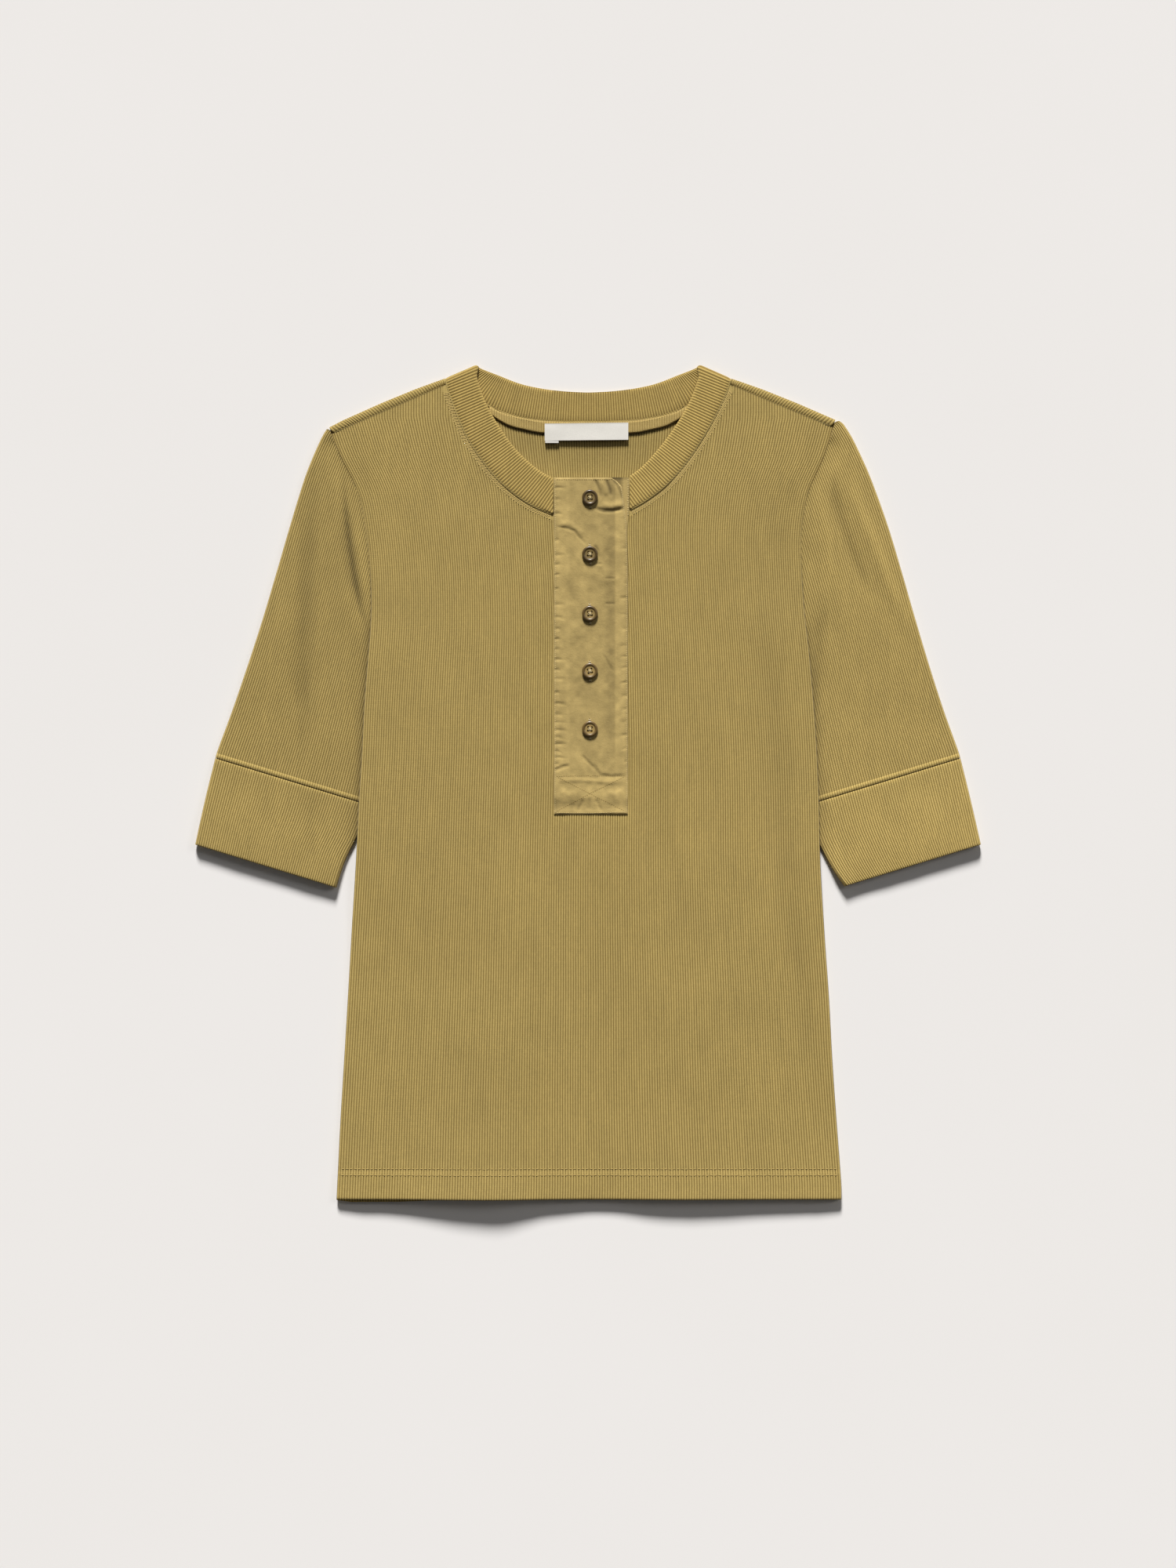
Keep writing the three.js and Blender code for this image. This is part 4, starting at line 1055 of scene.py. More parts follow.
def ruled(rows):
    """Pairs of places on the inner and outer edge of one front side, each pair along one rib.

    The ribs nearest the placket end at the band's cut end instead of its inner edge.
    """
    inner = sampled([*rows[:, :2], BAND_FOLD["inner"]], 300)
    outer = sampled([*rows[:, 2:], BAND_FOLD["outer"]], 300)
    x, top, bottom = rows[0, 0], rows[0, 1], rows[0, 3]
    cut = np.stack([np.full(40, x), np.linspace(bottom + 0.2, top, 40)], 1)
    middle = (sampled(rows[:, :2], 20) + sampled(rows[:, 2:], 20)) / 2
    near_cut = [[x + 0.15, bottom + 0.7], [x + 0.7, bottom + 3.2], [x + 0.5, bottom + 6.5], [x + 0.4, bottom + 10]]
    middles = [*near_cut, *middle[1:]]
    return rows_on(np.vstack([cut, inner[1:]]), outer, middles, straight(LEAN, "x", "front")(np.array(middles)[:, 0]))


def ruled_back():
    """The same on the wearer's left half of the back, from the shoulder to the middle."""
    inner, outer = sampled(BAND_BACK[:, :2], 200), sampled([BAND_TURN_END, *BAND_BACK[:, 2:]], 200)
    middle = top_line((inner + sampled(BAND_BACK[:, 2:], 200)) / 2)
    x = np.array([70, 64, 57, 49, 40, 30, 20, 10])
    rows = rows_on(inner, outer, np.stack([x, middle(x)], 1), straight(LEAN_BACK, "x", "back")(x))
    return np.vstack([rows, BAND_BACK[-1]])


class Band:
    """The neckband from the placket over the wearer's right shoulder, round the back and down the left."""

    def __init__(self):
        inner, outer, turn, side = [], [], [], []

        def add(i, o, t, s):
            inner.append(i)
            outer.append(o)
            turn.append(t)
            side.append(s)

        def fold_over(sign, turns):
            for t in turns:
                out, angle = outward(sign), np.radians(t)
                reach = BAND["roll"] * np.sin(angle) - BAND["roll"] - BAND["half"]
                z = (BAND["front"] + BAND["back"]) / 2 + BAND["roll"] * np.cos(angle)
                spot = lambda p: [sign * p[0] + out[0] * reach, p[1] + out[1] * reach, z]
                add(spot(BAND_FOLD["inner"]), spot(BAND_FOLD["outer"]), t, sign)

        for row in ruled(BAND_RIGHT * [-1, 1, -1, 1]):
            add([-row[0], row[1], BAND["front"]], [-row[2], row[3], BAND["front"]], 0, -1)
        fold_over(-1, [0, 45, 90, 135, 180])
        rows = ruled_back()
        for row in rows[:-1]:
            add([-row[0], row[1], BAND["back"]], [-row[2], row[3], BAND["back"]], 180, -1)
        for row in rows[::-1]:
            add([*row[:2], BAND["back"]], [*row[2:], BAND["back"]], 180, 1)
        fold_over(1, [180, 135, 90, 45, 0])
        for row in ruled(BAND_LEFT)[::-1]:
            add([*row[:2], BAND["front"]], [*row[2:], BAND["front"]], 0, 1)
        self.inner, self.outer = np.array(inner, float), np.array(outer, float)
        self.turn, self.side = np.array(turn, float), np.array(side)
        self.last = len(inner) - 1
        t = np.linspace(0, 1, 2401)
        a, b, _ = self.at(t)
        middle, ahead = (a + b) / 2, (b - a) / np.linalg.norm(b - a, axis=1)[:, None]
        moved = np.diff(middle, axis=0)
        moved -= ahead[1:] * np.sum(moved * ahead[1:], axis=1)[:, None]
        front = np.abs(np.interp(t[1:] * self.last, np.arange(self.last + 1), self.turn)) < 90
        steps = np.linalg.norm(moved, axis=1) / np.where(front, *BAND_RIB_PITCH)
        self.ribs, self.shares = np.concatenate([[0], np.cumsum(steps)]), t
        self.total = self.ribs[-1]

    def at(self, t):
        place = t * self.last
        i = np.minimum(place.astype(int), self.last - 1)
        share = place - i
        turn = np.radians(mixed(self.turn[i], self.turn[i + 1], share))
        out = np.where(self.side[i, None] > 0, outward(1), outward(-1))
        normal = np.stack([out[:, 0] * np.sin(turn), out[:, 1] * np.sin(turn), np.cos(turn)], 1)
        z = mixed(self.inner[i, 2], self.inner[i + 1, 2], share)
        a, b = through(self.inner, t), through(self.outer, t)
        a[:, 2] = b[:, 2] = z
        return a, b, normal

    def place(self, s):
        return self.at(np.interp(s, self.ribs, self.shares))


def band_half(share, width, cut):
    """Half of the band's thickness, from its folded edge, or its cut end, to its seam."""
    off = share * width + cut
    edge = 1 - rounded(off + 0.15, 2.6)
    return BAND["half"] * (0.25 + 0.75 * edge) * (1 - 0.35 * step(share, 0.9, 1))


def neckband():
    band = Band()
    ribs = int(round(band.total))
    s = band.total * np.arange(4 * ribs + 1) / (4 * ribs)
    a, b, normal = band.place(s)
    share = np.array([0, 0.02, 0.05, 0.09, 0.14, 0.2, 0.3, 0.45, 0.6, 0.75, 0.88, 0.95, 1])
    width = np.linalg.norm(b - a, axis=1)
    rib = PROFILE[np.arange(len(s)) % 4]
    cut = 3 * step(np.abs(a[:, 0]), np.where(a[:, 0] < 0, 25.6, 30.7), np.where(a[:, 0] < 0, 25.4, 30.5))
    half = band_half(share[:, None], width, cut)
    wave = 0.12 * noise(s * 1.9, share[:, None] * 24, 14, 10, 41)
    cloth = Cloth()
    skins = []
    for sign in (1, -1):
        fade = step(share, 0, 0.06)[:, None]
        rolled = np.hypot(normal[:, 0], normal[:, 1])
        off = half + fade * 0.38 * (rib - 0.4) * (1 - 0.6 * rolled) + wave * fade
        middle = a + (b - a) * share[:, None, None]
        middle[..., :2] -= normal[:, :2] * 1.2 * rounded(share[:, None] * width, 3.5)[..., None]
        p = middle + normal * (sign * off)[..., None]
        # Painted light and shade: the back of the band, under the front, darker; the half on the wearer's left lighter
        # and the right half darker, as the side light falls. Besides, lighter along the folded edge and darker along
        # the seam.
        around = np.where(p[..., 2] < 2.3, -0.06, np.where(p[..., 0] > 0, 0.07, -0.02))
        tone = around + 0.03 * step(share, 0.06, 0)[:, None] - 0.06 * step(share, 0.94, 1)[:, None]
        skins.append(cloth.add(p[..., 0], p[..., 1], np.maximum(p[..., 2], 0), tone))
    over, under = skins
    place = pairs(s / band.total * ribs, share[:, None] * width / STITCH)
    cloth.doubled(*faces_of(over[:, ::-1], place[:, ::-1]), under, over)
    piece = cloth.made("neckband_cloth", BAND_KNIT, 70)
    return placed(piece, "band_knit", "neckband"), band


# Flat trims


def sheet_of(cloth, x, y, low, high, tone=0.0, place=None):
    """Both skins and the rim of a sheet over a grid, rows upward and columns to the right."""
    under = cloth.add(x, y, low)
    over = cloth.add(x, y, high, tone)
    place = pairs(x, y) if place is None else place
    cloth.doubled(*faces_of(over, place), under, over)


def tape_edges(x):
    """Lower and upper edge of the tape."""
    low = smooth(TAPE_EDGE, "x", "y")
    edge = top_line(sampled(BAND_BACK[:, 2:], 40))
    far = np.maximum(np.abs(x) - 66, 0)
    return low(np.minimum(np.abs(x), 66)) + far * 0.75, edge(np.abs(x)) - 2 * SEAM


def tape_height(x, y):
    bottom, top = tape_edges(x)
    off = np.clip(np.minimum(y - bottom, top - y), 0, 9)
    return 2.75 - 0.75 * rounded(off, 1.3) + 0.1 * noise(x, y, 12, 6, 51)


def neck_tape():
    cloth = Cloth()
    ribs = 80
    x = np.linspace(-TAPE_HALF, TAPE_HALF, 4 * ribs + 1)
    share = np.array([0, 0.03, 0.08, 0.15, 0.25, 0.4, 0.55, 0.7, 0.82, 0.92, 0.97, 1])[:, None]
    bottom, top = tape_edges(x)
    y = mixed(bottom, top, share)
    off = np.minimum(share, 1 - share) * (top - bottom)
    rib = PROFILE[np.arange(len(x)) % 4]
    z = tape_height(x, y) + 0.16 * (rib - 0.4) * step(off, 0.3, 1.4)
    place = pairs(np.arange(len(x)) / 4, (y - 250) / STITCH)
    sheet_of(cloth, np.broadcast_to(x, y.shape), y, np.full(y.shape, 1.55), z, 0.0, place)
    piece = cloth.made("tape_cloth", TAPE)
    return placed(piece, "neck_tape", "neck_tape")


def neck_label():
    cloth = Cloth()
    u, v = np.linspace(0, 1, 41), np.linspace(0, 1, 13)[:, None]
    x = mixed(LABEL["right"], LABEL["left"], u) + 0 * v
    y = mixed(mixed(250, 250.6, u), mixed(262.4, 263.2, u), v)
    z = label_height(x, y)
    sheet_of(cloth, x, y, z - 0.5, z)
    x = mixed(-31.2, -21.5, np.linspace(0, 1, 9)) + 0 * v
    y = mixed(248.3, 250.6, v) + 0 * x
    sheet_of(cloth, x, y, np.full(y.shape, 3.0), np.full(y.shape, 3.5), -0.1)
    piece = cloth.made("label_cloth", CREAM)
    return placed(piece, "neck_label", "neck_label")


def label_height(x, y):
    """The label follows the tape beneath, and bows a little between its two sewn ends."""
    ends = np.clip((x - LABEL["right"]) * (LABEL["left"] - x) / 30.5**2, 0, 1)
    return 3.55 + 0.3 * ends + 0.15 * noise(x, y, 18, 9, 61)


# Placket

TOP_EDGE = table(
    "y x",
    [[-30, 29.1], [160, 29.0], [190, 28.3], [200.8, 26.9], [210, 25.9], [216.6, 24.4], [220.2, 21.0]]
    + [[222.7, 17.2], [224, 15.5]],
)
top_edge = straight(TOP_EDGE, "y", "x")

# Creases of the upper placket band: width, height and painted shade of each, and its line
PLACKET_FOLDS = drawn([
    (1.3, -0.9, -0.42, [(757, 646), (763, 650), (771, 652), (781, 652), (791, 650), (799, 647)]),
    (2.2, 0.55, 0.08, [(765, 644), (780, 646), (796, 643)]),
    (1.2, -0.6, -0.36, [(757, 609), (761, 617), (765, 626), (767, 638)]),
    (1.1, -0.55, -0.34, [(772, 609), (775, 617), (778, 625), (780, 635)]),
    (1.6, 0.4, 0.07, [(766, 612), (771, 622), (774, 634)]),
    (1.2, -0.45, -0.28, [(780, 609), (787, 620), (792, 630), (795, 642)]),
    (0.9, -0.4, -0.16, [(705, 672), (719, 673.5), (727, 675.5), (733, 678), (738, 685), (744, 691), (751, 697)]),
    (2.0, 0.45, 0.06, [(712, 668), (728, 669), (738, 677), (746, 686)]),
    (1.0, -0.4, -0.2, [(757, 694), (762, 702), (764, 714)]),
    (0.8, -0.3, -0.14, [(758, 719), (769, 719.5)]),
    (3.0, -0.4, -0.085, [(778, 690), (779, 730), (778, 790), (778, 850), (781, 905)]),
    (0.8, -0.3, -0.14, [(770, 738), (786, 738)]),
    (0.8, -0.35, -0.18, [(770, 770), (786, 770)]),
    (0.9, -0.3, -0.1, [(768, 832), (775, 845), (783, 858)]),
    (1.3, -0.5, -0.22, [(756, 972), (760, 981), (766, 989), (780, 990.5), (802, 989)]),
    (1.0, -0.4, -0.14, [(741, 962), (750, 972), (760, 982)]),
    (1.3, -0.6, -0.24, [(704, 984.5), (709, 982), (717, 978.5), (728, 976)]),
    (1.6, 0.35, 0.05, [(706, 996), (740, 995), (780, 998), (802, 996)]),
    (2.2, 0.35, 0.1, [(714, 1008), (725, 1013), (737, 1010)]),
    (2.2, 0.35, 0.1, [(772, 1010), (785, 1013), (795, 1008)]),
    (1.2, -0.35, -0.1, [(745, 1018), (741, 1027), (736, 1037)]),
    (1.2, -0.35, -0.1, [(760, 1018), (764, 1028), (768, 1037)]),
    (1.1, -0.3, -0.08, [(752, 1016), (752, 1026), (752, 1037)]),
    (6, 0.5, 0.03, [(725, 640), (726, 700), (724, 760)]),
    (7, -0.4, -0.03, [(742, 790), (744, 850), (740, 920)]),
])
LEFT_PUCKERS = [
    *(623, 638, 656, 690, 709, 721, 734, 752, 772, 788, 803, 816, 829),
    *(842, 855, 867, 884, 898, 912, 922, 932, 941, 950, 959, 967, 975),
]
RIGHT_PUCKERS = [662, 676, 700, 722, 745, 763, 784, 803, 824, 838, 852, 871, 888, 905, 921, 938, 955, 972]


def pucker_lines():
    """Short level puckers that end at the stitching of both long edges, each darkened by painted shade in step with
    its depth.
    """
    rng = np.random.default_rng(77)
    lines = []
    sides = (
        (LEFT_PUCKERS, 706, 1, (9, 21), (0.2, 0.5), 1.3, 0.25, (5, 0.9), 2.5),
        (RIGHT_PUCKERS, 802, -1, (7, 15), (0.15, 0.38), 1.2, 0.2, (4, 0.6), 2),
    )
    for ys, edge, sign, reaches, depths, widest, dark, (near, rise), droop in sides:
        for y in ys:
            reach, deep = rng.uniform(*reaches), rng.uniform(*depths)
            width, end = rng.uniform(0.8, widest), (edge + sign * reach, y + rng.uniform(-1, droop))
            lines.append((width, -deep, -dark * deep, [(edge, y), (edge + sign * near, y - rise), end]))
    return lines


PUCKERS = drawn(pucker_lines())


def creased(x, y, column):
    """Sum of the placket's creases and puckers: of their heights or of the light and shade painted on them."""
    z = folds(x, y, PLACKET_FOLDS, column, 0.25)
    for row in PUCKERS:
        off, share, _ = to_line(x, y, row[3])
        z = z + row[column] * bell(off, row[0]) * step(1 - share, 0, 0.6)
    return z


def placket_relief(x, y):
    strips = 0.16 * step(x, -12.8, -14.4) + 0.16 * step(x, 19.2, 20.8)
    return creased(x, y, HEIGHT) + strips + 0.3 * noise(x, y, 10, 14, 71) + 0.16 * noise(x, y, 4, 5, 72)


def placket_tone(x, y):
    """Garment dye, lighter along worn edges; painted shade in creases and puckers, and painted light on their ridges.
    """
    side = np.minimum(x - PLACKET["right"], top_edge(y) - x)
    worn = 0.09 * bell(side, 2.2) + 0.05 * step(y, 6, 0)
    worn = worn + 0.06 * step(x, -12.8, -14.6) + 0.08 * step(x, 19.4, 20.3)
    middle = (-0.16 * bell(x - 17.5, 5.5) * step(x, 20.1, 19.2) - 0.03 * bell(x - 2, 12)) * step(y, 10, 30)
    worn = worn - 0.16 * bell(side - 0.9, 0.5) - 0.1 * bell(side - 1.9, 0.7)
    below = -7.6 - 0.47 * np.abs(x - 1.2)
    worn = worn + 0.05 * step(y - below, 0.6, -0.6) * step(y, -22, -20) + 0.05 * step(y, 5, 3)
    patch = 0.085 * noise(x, y, 7, 10, 81) + 0.06 * noise(x, y, 2.6, 3.6, 82) + 0.03 * noise(x, y, 1.2, 1.6, 83)
    return creased(x, y, PAINTED_SHADING) + worn + middle + patch


def placket_height(x, y):
    """Height of the upper placket band's outside."""
    side = np.minimum(x - PLACKET["right"], top_edge(y) - x)
    end = np.minimum(y - PLACKET["bottom"], PLACKET["top"] - y)
    off = np.minimum(np.maximum(side, 0), np.maximum(end, 0))
    return PLACKET_TOP[1] - 0.55 * rounded(off, 1.6) + step(off, 0, 1.5) * placket_relief(x, y) - placket_drop(y)


def placket_drop(y):
    """The end below the opening lies on the front itself."""
    return 1.15 * step(y, -9, -19)


def placket():
    cloth = Cloth()
    v = np.linspace(0, 1, 352)[:, None]
    u = np.concatenate([[0, 0.008, 0.02], np.linspace(0.035, 0.965, 74), [0.98, 0.992, 1]])
    y = mixed(PLACKET["bottom"], PLACKET["top"], v) + 0 * u
    x = mixed(PLACKET["right"], top_edge(y), u)
    z = placket_height(x, y)
    low = PLACKET_TOP[0] + 0.05 - placket_drop(y)
    sheet_of(cloth, x, y, low, np.maximum(z, low + 0.2), placket_tone(x, y))
    top = placed(cloth.made("placket_top_cloth", TWILL), "placket_twill", "placket_top")
    cloth = Cloth()
    v = np.linspace(0, 1, 90)[:, None]
    u = np.linspace(0, 1, 40)
    y = mixed(PLACKET["under_bottom"], PLACKET["top"], v) + 0 * u
    end = PLACKET["under_left"] - 1.6 * step(y, 202, 180)
    x = mixed(PLACKET["right"] + 4, end, u)
    low, high = PLACKET_UNDER
    off = np.minimum(end - x, 50)
    z = high - 0.3 * rounded(off, 1.2)
    # Painted shade on the under band beneath and beside the upper band's edge; the strip beyond keeps its colour.
    tone = 0.04 - 0.5 * step(x, 25.6, 24.2)
    sheet_of(cloth, x, y, np.full(y.shape, low), z, tone)
    under = placed(cloth.made("placket_under_cloth", TWILL), "placket_twill", "placket_under")
    return top, under


# Buttons


def buttons():
    profile = [
        (0.0, 0.0), (4.4, 0.0), (5.3, 0.35), (5.75, 0.95), (5.7, 1.35), (5.4, 1.85), (4.9, 2.1), (4.45, 2.1),
        (4.0, 1.9), (3.7, 1.62), (3.3, 1.5), (2.0, 1.42), (0.0, 1.4),
    ]
    profile = [(r, z * BUTTON_FLAT) for r, z in profile]
    around = 56
    angles = np.linspace(0, 2 * np.pi, around, endpoint=False)
    points, faces = [(0, 0, profile[0][1])], []
    for r, z in profile[1:-1]:
        points += [(r * np.cos(t), r * np.sin(t), z) for t in angles]
    points.append((0, 0, profile[-1][1]))
    ring = lambda k: 1 + k * around
    for i in range(around):
        j = (i + 1) % around
        faces.append((0, ring(0) + j, ring(0) + i))
        for k in range(len(profile) - 3):
            faces.append((ring(k) + i, ring(k) + j, ring(k + 1) + j, ring(k + 1) + i))
        faces.append((ring(len(profile) - 3) + i, ring(len(profile) - 3) + j, len(points) - 1))
    mesh = bpy.data.meshes.new("button")
    mesh.from_pydata(np.array(points) * MM, [], faces)
    disc = bpy.data.objects.new("button", mesh)
    bpy.context.scene.collection.objects.link(disc)
    cutters = []
    for x in (-HOLE["off"], HOLE["off"]):
        for y in (-HOLE["off"], HOLE["off"]):
            place = (x * MM, y * MM, 0)
            bpy.ops.mesh.primitive_cylinder_add(vertices=20, radius=HOLE["radius"] * MM, depth=8 * MM, location=place)
            cutter = bpy.context.object
            cut = disc.modifiers.new("hole", "BOOLEAN")
            cut.object, cut.operation, cut.solver = cutter, "DIFFERENCE", "EXACT"
            cutters.append(cutter)
    bpy.context.view_layer.update()
    holed = bpy.data.meshes.new_from_object(disc.evaluated_get(bpy.context.evaluated_depsgraph_get()))
    for o in [disc, *cutters]:
        bpy.data.objects.remove(o)
    holed.materials.clear()
    holed.materials.append(RESIN)
    holed.shade_smooth()
    holed.set_sharp_from_angle(angle=np.radians(38))
    for i, y in enumerate(BUTTON_YS):
        piece = bpy.data.objects.new(f"button_{i + 1}_resin", holed.copy())
        tone = piece.data.attributes.new("tone", "FLOAT", "POINT")
        tone.data.foreach_set("value", np.full(len(piece.data.vertices), BUTTON_TONES[i], np.float32))
        piece.location = (BUTTON_X * MM, y * MM, (PLACKET_TOP[1] + SEAM) * MM)
        piece.rotation_euler = (0, 0, BUTTON_TURNS[i])
        bpy.context.scene.collection.objects.link(piece)
        placed(piece, "buttons", f"button_{i + 1}")


def button_threads():
    """Threads through the four holes, the ends of the buttonholes above and below each button, and a dark bead of
    painted shade in each buttonhole's slit.
    """
    top = PLACKET_TOP[1] + SEAM + 1.62 * BUTTON_FLAT
    crosses, along, holes, slit_shades = [], [], [], []
    for y, turn in zip(BUTTON_YS, BUTTON_TURNS):
        for k, sign in enumerate((1, -1)):
            direction = np.array([np.cos(turn + sign * np.pi / 4), np.sin(turn + sign * np.pi / 4), 0])
            for side in (-0.22, 0.22):
                across = np.array([-direction[1], direction[0], 0]) * side
                crosses.append(np.array([BUTTON_X, y, top + 0.14 * k]) + across)
                along.append(direction)
        for reach, lean in ((-6.9, 0.25), (6.6, -0.2)):
            for side in (-0.55, 0, 0.55):
                holes.append([BUTTON_X + side + lean, y + reach, PLACKET_TOP[1] + 0.02])
            # A dark bead of painted shade in the buttonhole's slit.
            slit_shades.append([BUTTON_X + lean, y + reach * 1.12, PLACKET_TOP[1] - 0.02])
    lengthwise, crosswise = np.tile([0.0, 1, 0], (len(holes), 1)), np.tile([1.0, 0, 0], (len(slit_shades), 1))
    rows = (
        ("button_threads", THREAD_PALE, "buttons", crosses, np.array(along), 3.1, 0.27),
        ("buttonhole_ends", THREAD_PALE, "placket_twill", holes, lengthwise, 1.9, 0.33),
        ("buttonhole_slit_shades", THREAD_DARK_AND_SLIT_SHADE, "placket_twill", slit_shades, crosswise, 1.1, 0.34),
    )
    for name, material, slot, centres, ahead, length, radius in rows:
        placed(stitch_rows(name, material, np.array(centres), ahead, length, radius), slot)


# Stitches


def stitch_rows(name, material, centres, along, length, radius):
    """One small bead of thread at each centre, lying along its direction."""
    sides, rings = 6, [(-1, 0), (-0.8, 0.7), (-0.3, 1), (0.3, 1), (0.8, 0.7), (1, 0)]
    pattern, faces = [], []
    for x, r in rings:
        count = 1 if r == 0 else sides
        pattern += [(x, r * np.cos(t), r * np.sin(t)) for t in 2 * np.pi * np.arange(count) / sides]
    first = [0, 1, 1 + sides, 1 + 2 * sides, 1 + 3 * sides]
    tip = 1 + 4 * sides
    for i in range(sides):
        j = (i + 1) % sides
        faces.append((0, 1 + j, 1 + i))
        for k in range(1, 4):
            faces.append((first[k] + i, first[k] + j, first[k + 1] + j, first[k + 1] + i))
        faces.append((first[4] + i, first[4] + j, tip))
    pattern = np.array(pattern)
    along = along / np.linalg.norm(along, axis=1)[:, None]
    across = np.cross([0, 0, 1.0], along)
    across /= np.linalg.norm(across, axis=1)[:, None]
    up = np.cross(along, across)
    points = (
        centres[:, None]
        + along[:, None] * (pattern[None, :, :1] * length / 2)
        + across[:, None] * (pattern[None, :, 1:2] * radius)
        + up[:, None] * (pattern[None, :, 2:] * radius * THREAD_FLAT)
    )
    every = [[n + k * len(pattern) for n in face] for k in range(len(centres)) for face in faces]
    mesh = bpy.data.meshes.new(name)
    mesh.from_pydata(points.reshape(-1, 3) * MM, [], every)
    mesh.attributes.new("tone", "FLOAT", "POINT")
    mesh.materials.append(material)
    mesh.shade_smooth()
    made = bpy.data.objects.new(name, mesh)
    bpy.context.scene.collection.objects.link(made)
    return made


def spots(line, pitch, seed=0, jitter=0.0):
    """Evenly spaced places on a line of points in plan, with the direction at each."""
    line = np.array(line, float)
    lengths = np.concatenate([[0], np.cumsum(np.linalg.norm(np.diff(line, axis=0), axis=1))])
    count = max(int(lengths[-1] / pitch), 1)
    at = (np.arange(count) + 0.5) * lengths[-1] / count
    xy = np.stack([np.interp(at, lengths, line[:, k]) for k in (0, 1)], 1)
    ahead = np.stack([np.interp(at + 0.3, lengths, line[:, k]) for k in (0, 1)], 1)
    back = np.stack([np.interp(at - 0.3, lengths, line[:, k]) for k in (0, 1)], 1)
    rng = np.random.default_rng(seed)
    return xy + rng.normal(0, jitter, xy.shape), ahead - back


def sewn(name, material, slot, line, height, pitch, length, radius, sink=0.1, seed=0, jitter=0.05):
    """A row of stitches that lies on a surface given by its height."""
    xy, flat = spots(line, pitch, seed, jitter)
    z = height(xy[:, 0], xy[:, 1])
    along = flat / np.linalg.norm(flat, axis=1)[:, None]
    ahead, behind = (height(*(xy + along * half).T) for half in (0.5, -0.5))
    along3 = np.stack([along[:, 0], along[:, 1], np.clip(ahead - behind, -0.6, 0.6)], 1)
    centres = np.stack([xy[:, 0], xy[:, 1], z - sink], 1)
    return placed(stitch_rows(name, material, centres, along3, length, radius), slot)


def front_top_height(x, y):
    u = body_u(x, y)
    return front_level(u, y, x) + RIB + neck_ridge(x, y)[0]


def seams():
    for i, y in enumerate((-281.4, -286.0)):
        line = [[body_x(u, y), y] for u in np.linspace(0.006, 0.994, 80)]
        sewn(f"stitch_hem_{i}", THREAD_SAME, "rib_knit", line, front_top_height, 3.0, 2.4, 0.4, 0.1, i)
    for side, line in (("right", NECK_RIGHT), ("left", NECK_LEFT)):
        rows = [moved_aside(line, SIGN[side] * off) for off in (1.1, 4.3, 2.7)]
        *edges, middle = [row[(row[:, 1] < 286) & (np.abs(row[:, 0]) > 27)] for row in rows]
        for i, row in enumerate(edges):
            name = f"stitch_neck_{side}_{i}"
            sewn(name, THREAD_RIDGE, "rib_knit", row, front_top_height, 2.1, 1.5, 0.28, 0.12, i)
        xy, flat = spots(middle, 1.25, 9, 0.05)
        crossed = np.column_stack([flat @ [[0.5, 0.87], [-0.87, 0.5]], np.zeros(len(flat))])
        centres = np.column_stack([xy, front_top_height(xy[:, 0], xy[:, 1]) - 0.3])
        placed(stitch_rows(f"stitch_neck_{side}_2", THREAD_RIDGE, centres, crossed, 2.9, 0.3), "rib_knit")
    for side, sign in SIGN.items():
        shape = Sleeve(side)

        def height(x, y):
            return shape.height(*to_sleeve(sign * x, y)) + RIB * 0.8

        b = np.linspace(shape.outer(CUFF_STITCHES) + 2.5, shape.inner(CUFF_STITCHES) - 2.5, 60)
        x, y = to_plan(np.full(60, CUFF_STITCHES), b)
        line = np.stack([sign * x, y], 1)
        sewn(f"stitch_cuff_{side}", THREAD_SHADE, "rib_knit", line, height, 1.8, 1.0, 0.3, 0.06, 17)
    down = np.linspace(-21.5, 221.5, 120)
    lines = {
        "right": ([[-23.9, y] for y in down], THREAD),
        "left": ([[top_edge(y) - 0.9, y] for y in down], THREAD),
        "top": ([[-23, 221.2], [18, 221.2]], THREAD_DARK_AND_SLIT_SHADE),
        "box": ([[-23, 5.0], [0, 5.3], [27, 5.4]], THREAD_BOX),
        "bottom": ([[-23, -21.7], [5, -21.8], [27, -20.9]], THREAD),
        "cross_a": ([[-22.6, -20.5], [1.2, -7.6], [26.4, 4.6]], THREAD_BOX),
        "cross_b": ([[26.6, -20.2], [1.2, -7.6], [-22.2, 4.4]], THREAD_BOX),
    }
    for i, (name, (line, thread)) in enumerate(lines.items()):
        name = f"stitch_placket_{name}"
        sewn(name, thread, "placket_twill", line, placket_height, 1.6, 1.1, 0.27, 0.07, 5 + i, 0.08)
    line = [[29.2, y] for y in np.linspace(195, 222, 20)]
    under = lambda x, y: np.full(np.shape(x), PLACKET_UNDER[1])
    sewn("stitch_under", THREAD, "placket_twill", line, under, 1.6, 1.15, 0.29, 0.03, 21, 0.07)
    x = np.linspace(-70, 70, 90)
    for i, off in enumerate((0.8, 7.2)):
        line = np.stack([x, tape_edges(x)[0] + off], 1)
        sewn(f"stitch_tape_{i}", THREAD_SAME, "neck_tape", line, tape_height, 1.9, 1.3, 0.24, 0.02, 30 + i)


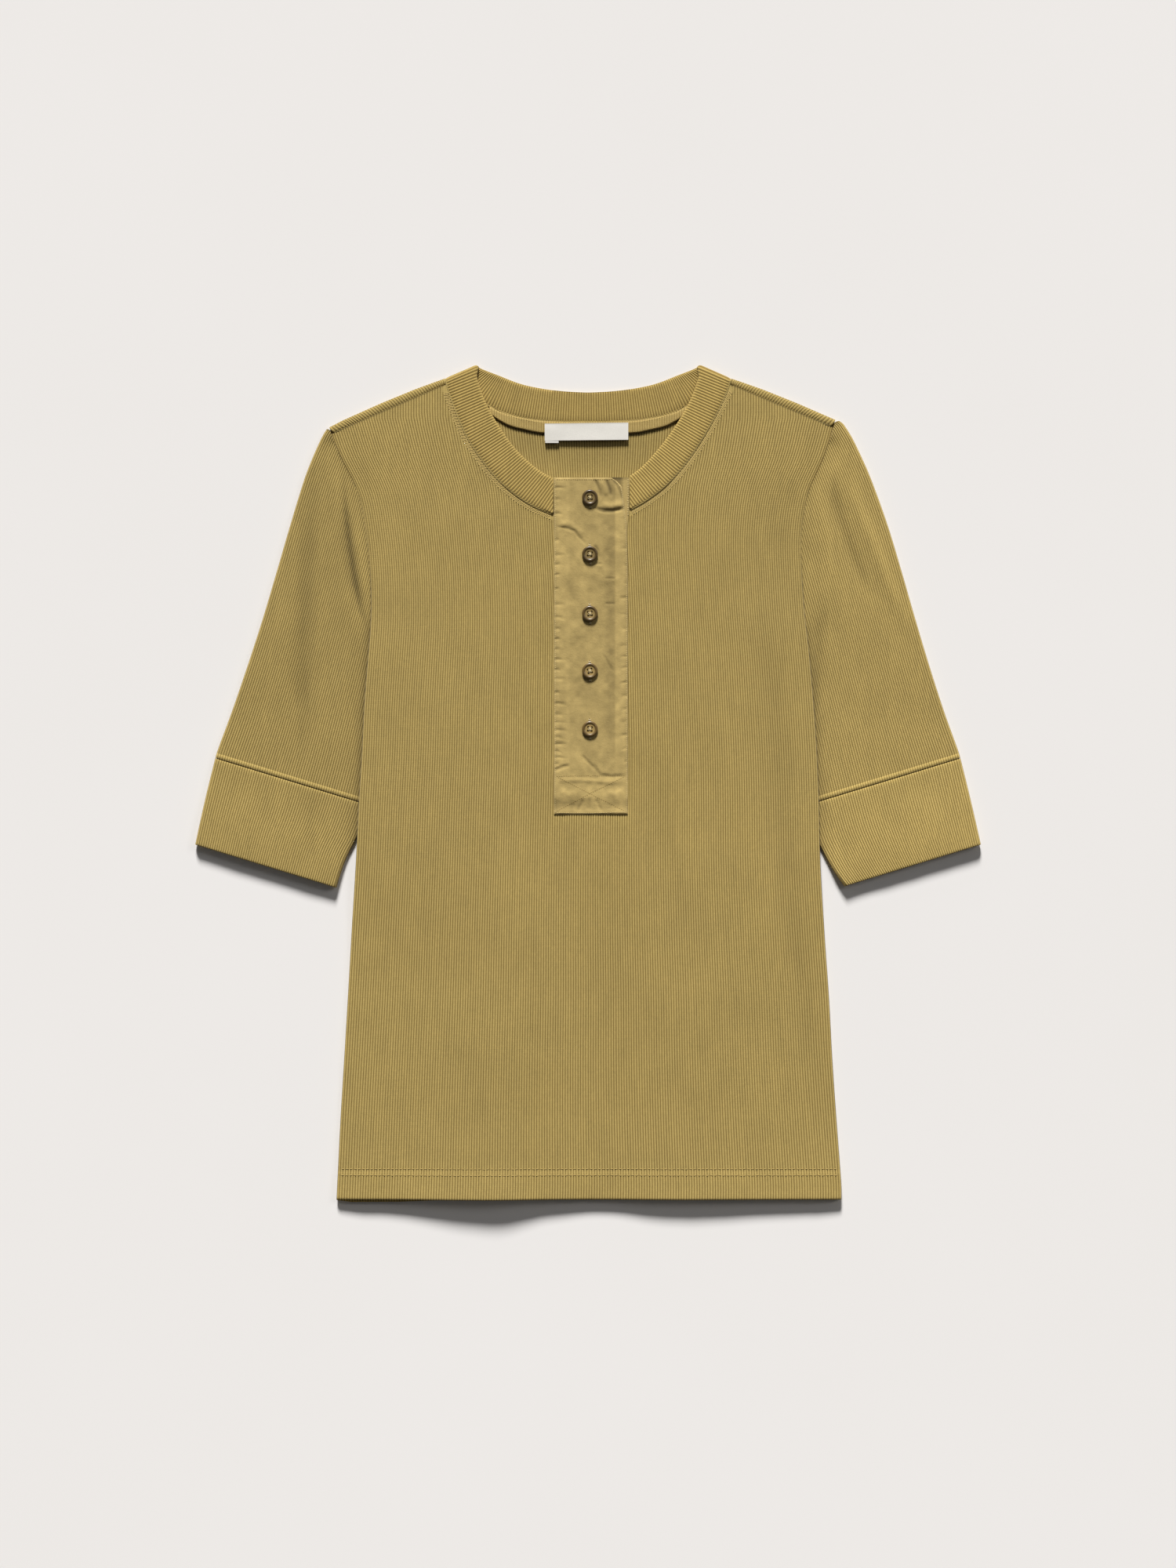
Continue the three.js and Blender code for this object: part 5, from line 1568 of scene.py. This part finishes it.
def welt(name, slot, path, across=0.85, up=0.75, sides=None, tone=-0.22):
    """A soft cord of seam allowance that fills a seam from below, darkened by its tone as painted shade in the seam.
    """
    path = np.array(path, float)
    along = np.gradient(path, axis=0)
    along /= np.linalg.norm(along, axis=1)[:, None]
    if sides is None:
        sides = np.cross([0, 0, 1.0], along)
    sides = sides / np.linalg.norm(sides, axis=1)[:, None]
    ups = np.cross(along, sides)
    taper = np.ones(len(path))
    taper[[0, -1]] = 0.05
    cloth = Cloth()
    angles = np.linspace(0, 2 * np.pi, 9)[:-1, None, None]
    ring = path + (sides * np.cos(angles) * across + ups * np.sin(angles) * up) * taper[None, :, None]
    numbers = cloth.add(ring[..., 0], ring[..., 1], np.maximum(ring[..., 2], 0.1), tone)
    numbers = np.vstack([numbers, numbers[:1]])
    run = np.concatenate([[0], np.cumsum(np.linalg.norm(np.diff(path, axis=0), axis=1))])
    cloth.skin(numbers, pairs(np.full((9, 1), 0.35), run / STITCH))
    return placed(cloth.made(name, KNIT), slot)


def seam_allowances():
    for side, sign in SIGN.items():
        y = np.linspace(118, FOLD_LINE[side][0][1] - 0.5, 60)
        x = OWN_EDGE[side](y) - 0.15
        welt(f"seam_armhole_{side}", "rib_knit", np.stack([sign * x, y, np.full(60, 1.5)], 1), 0.8, 0.75)
        a, b = np.array(SEAM_LINE[side], float)
        line = a + (b - a) * np.linspace(0.01, 0.99, 30)[:, None]
        welt(f"seam_shoulder_{side}", "rib_knit", np.column_stack([line, np.full(30, 2.65)]), 0.8, 0.75, tone=-0.55)
    t = np.linspace(0, 1, 500)
    inner, outer, _ = band.at(t)
    away = outer - inner
    away /= np.linalg.norm(away, axis=1)[:, None]
    path = outer + away * 0.35
    path[:, 2] = np.where(outer[:, 2] > 2.3, outer[:, 2] - 0.1, outer[:, 2])
    before, after = path[0] + 3 * (path[0] - path[1]), path[-1] + 3 * (path[-1] - path[-2])
    path, away = np.vstack([before, path, after]), np.vstack([away[:1], away, away[-1:]])
    welt("seam_neck", "band_knit", path, 1.0, 0.8, away, -0.12)


# Floor, light and camera


def stage():
    bpy.ops.mesh.primitive_plane_add(size=8, location=(0, 0, -0.0001))
    floor = bpy.context.object
    floor.name = "floor"
    made, n, surface = shader("floor", 0.9)
    grain = n.noise(n.coordinates().outputs["Object"], 3, 3.0)
    colour = n.mix(grain, linear(239, 237, 236), linear(236, 234, 232))
    n.link(colour, surface.inputs["Base Color"])
    floor.data.materials.append(made)

    def sun(name, azimuth, elevation, angle, power, colour):
        """A distant soft light, from the side of the neck where the azimuth is 0."""
        data = bpy.data.lights.new(name, "SUN")
        data.angle, data.energy, data.color = np.radians(angle), power, colour
        lamp = bpy.data.objects.new(name, data)
        a, e = np.radians(azimuth), np.radians(elevation)
        towards = Vector((np.sin(a) * np.cos(e), np.cos(a) * np.cos(e), np.sin(e)))
        lamp.rotation_euler = towards.to_track_quat("Z", "Y").to_euler()
        bpy.context.scene.collection.objects.link(lamp)

    sun("key", -4, 26, 13, 6.1, (1, 0.985, 0.965))
    sun("side", 62, 36, 20, 0.36, (1, 0.985, 0.97))
    world = bpy.data.worlds.new("studio")
    world.use_nodes = True
    world.node_tree.nodes["Background"].inputs[0].default_value = (1, 0.985, 0.97, 1)
    world.node_tree.nodes["Background"].inputs[1].default_value = 0.075
    bpy.context.scene.world = world
    bpy.context.scene.view_settings.view_transform = "Standard"


def camera():
    data = bpy.data.cameras.new("camera")
    data.sensor_width = 24
    data.lens = 24 * 2.4 / 1.144
    data.clip_end = 20
    made = bpy.data.objects.new("camera", data)
    made.location = (0, -0.0006, 2.404)
    bpy.context.scene.collection.objects.link(made)
    bpy.context.scene.camera = made


camera()
stage()
front = front_body()
back = back_body()
sleeves = {side: sleeve(side) for side in ("right", "left")}
cuffs = {side: cuff(side) for side in ("right", "left")}
band_piece, band = neckband()
tape = neck_tape()
label = neck_label()
placket_top, placket_under = placket()
buttons()
button_threads()
seams()
seam_allowances()
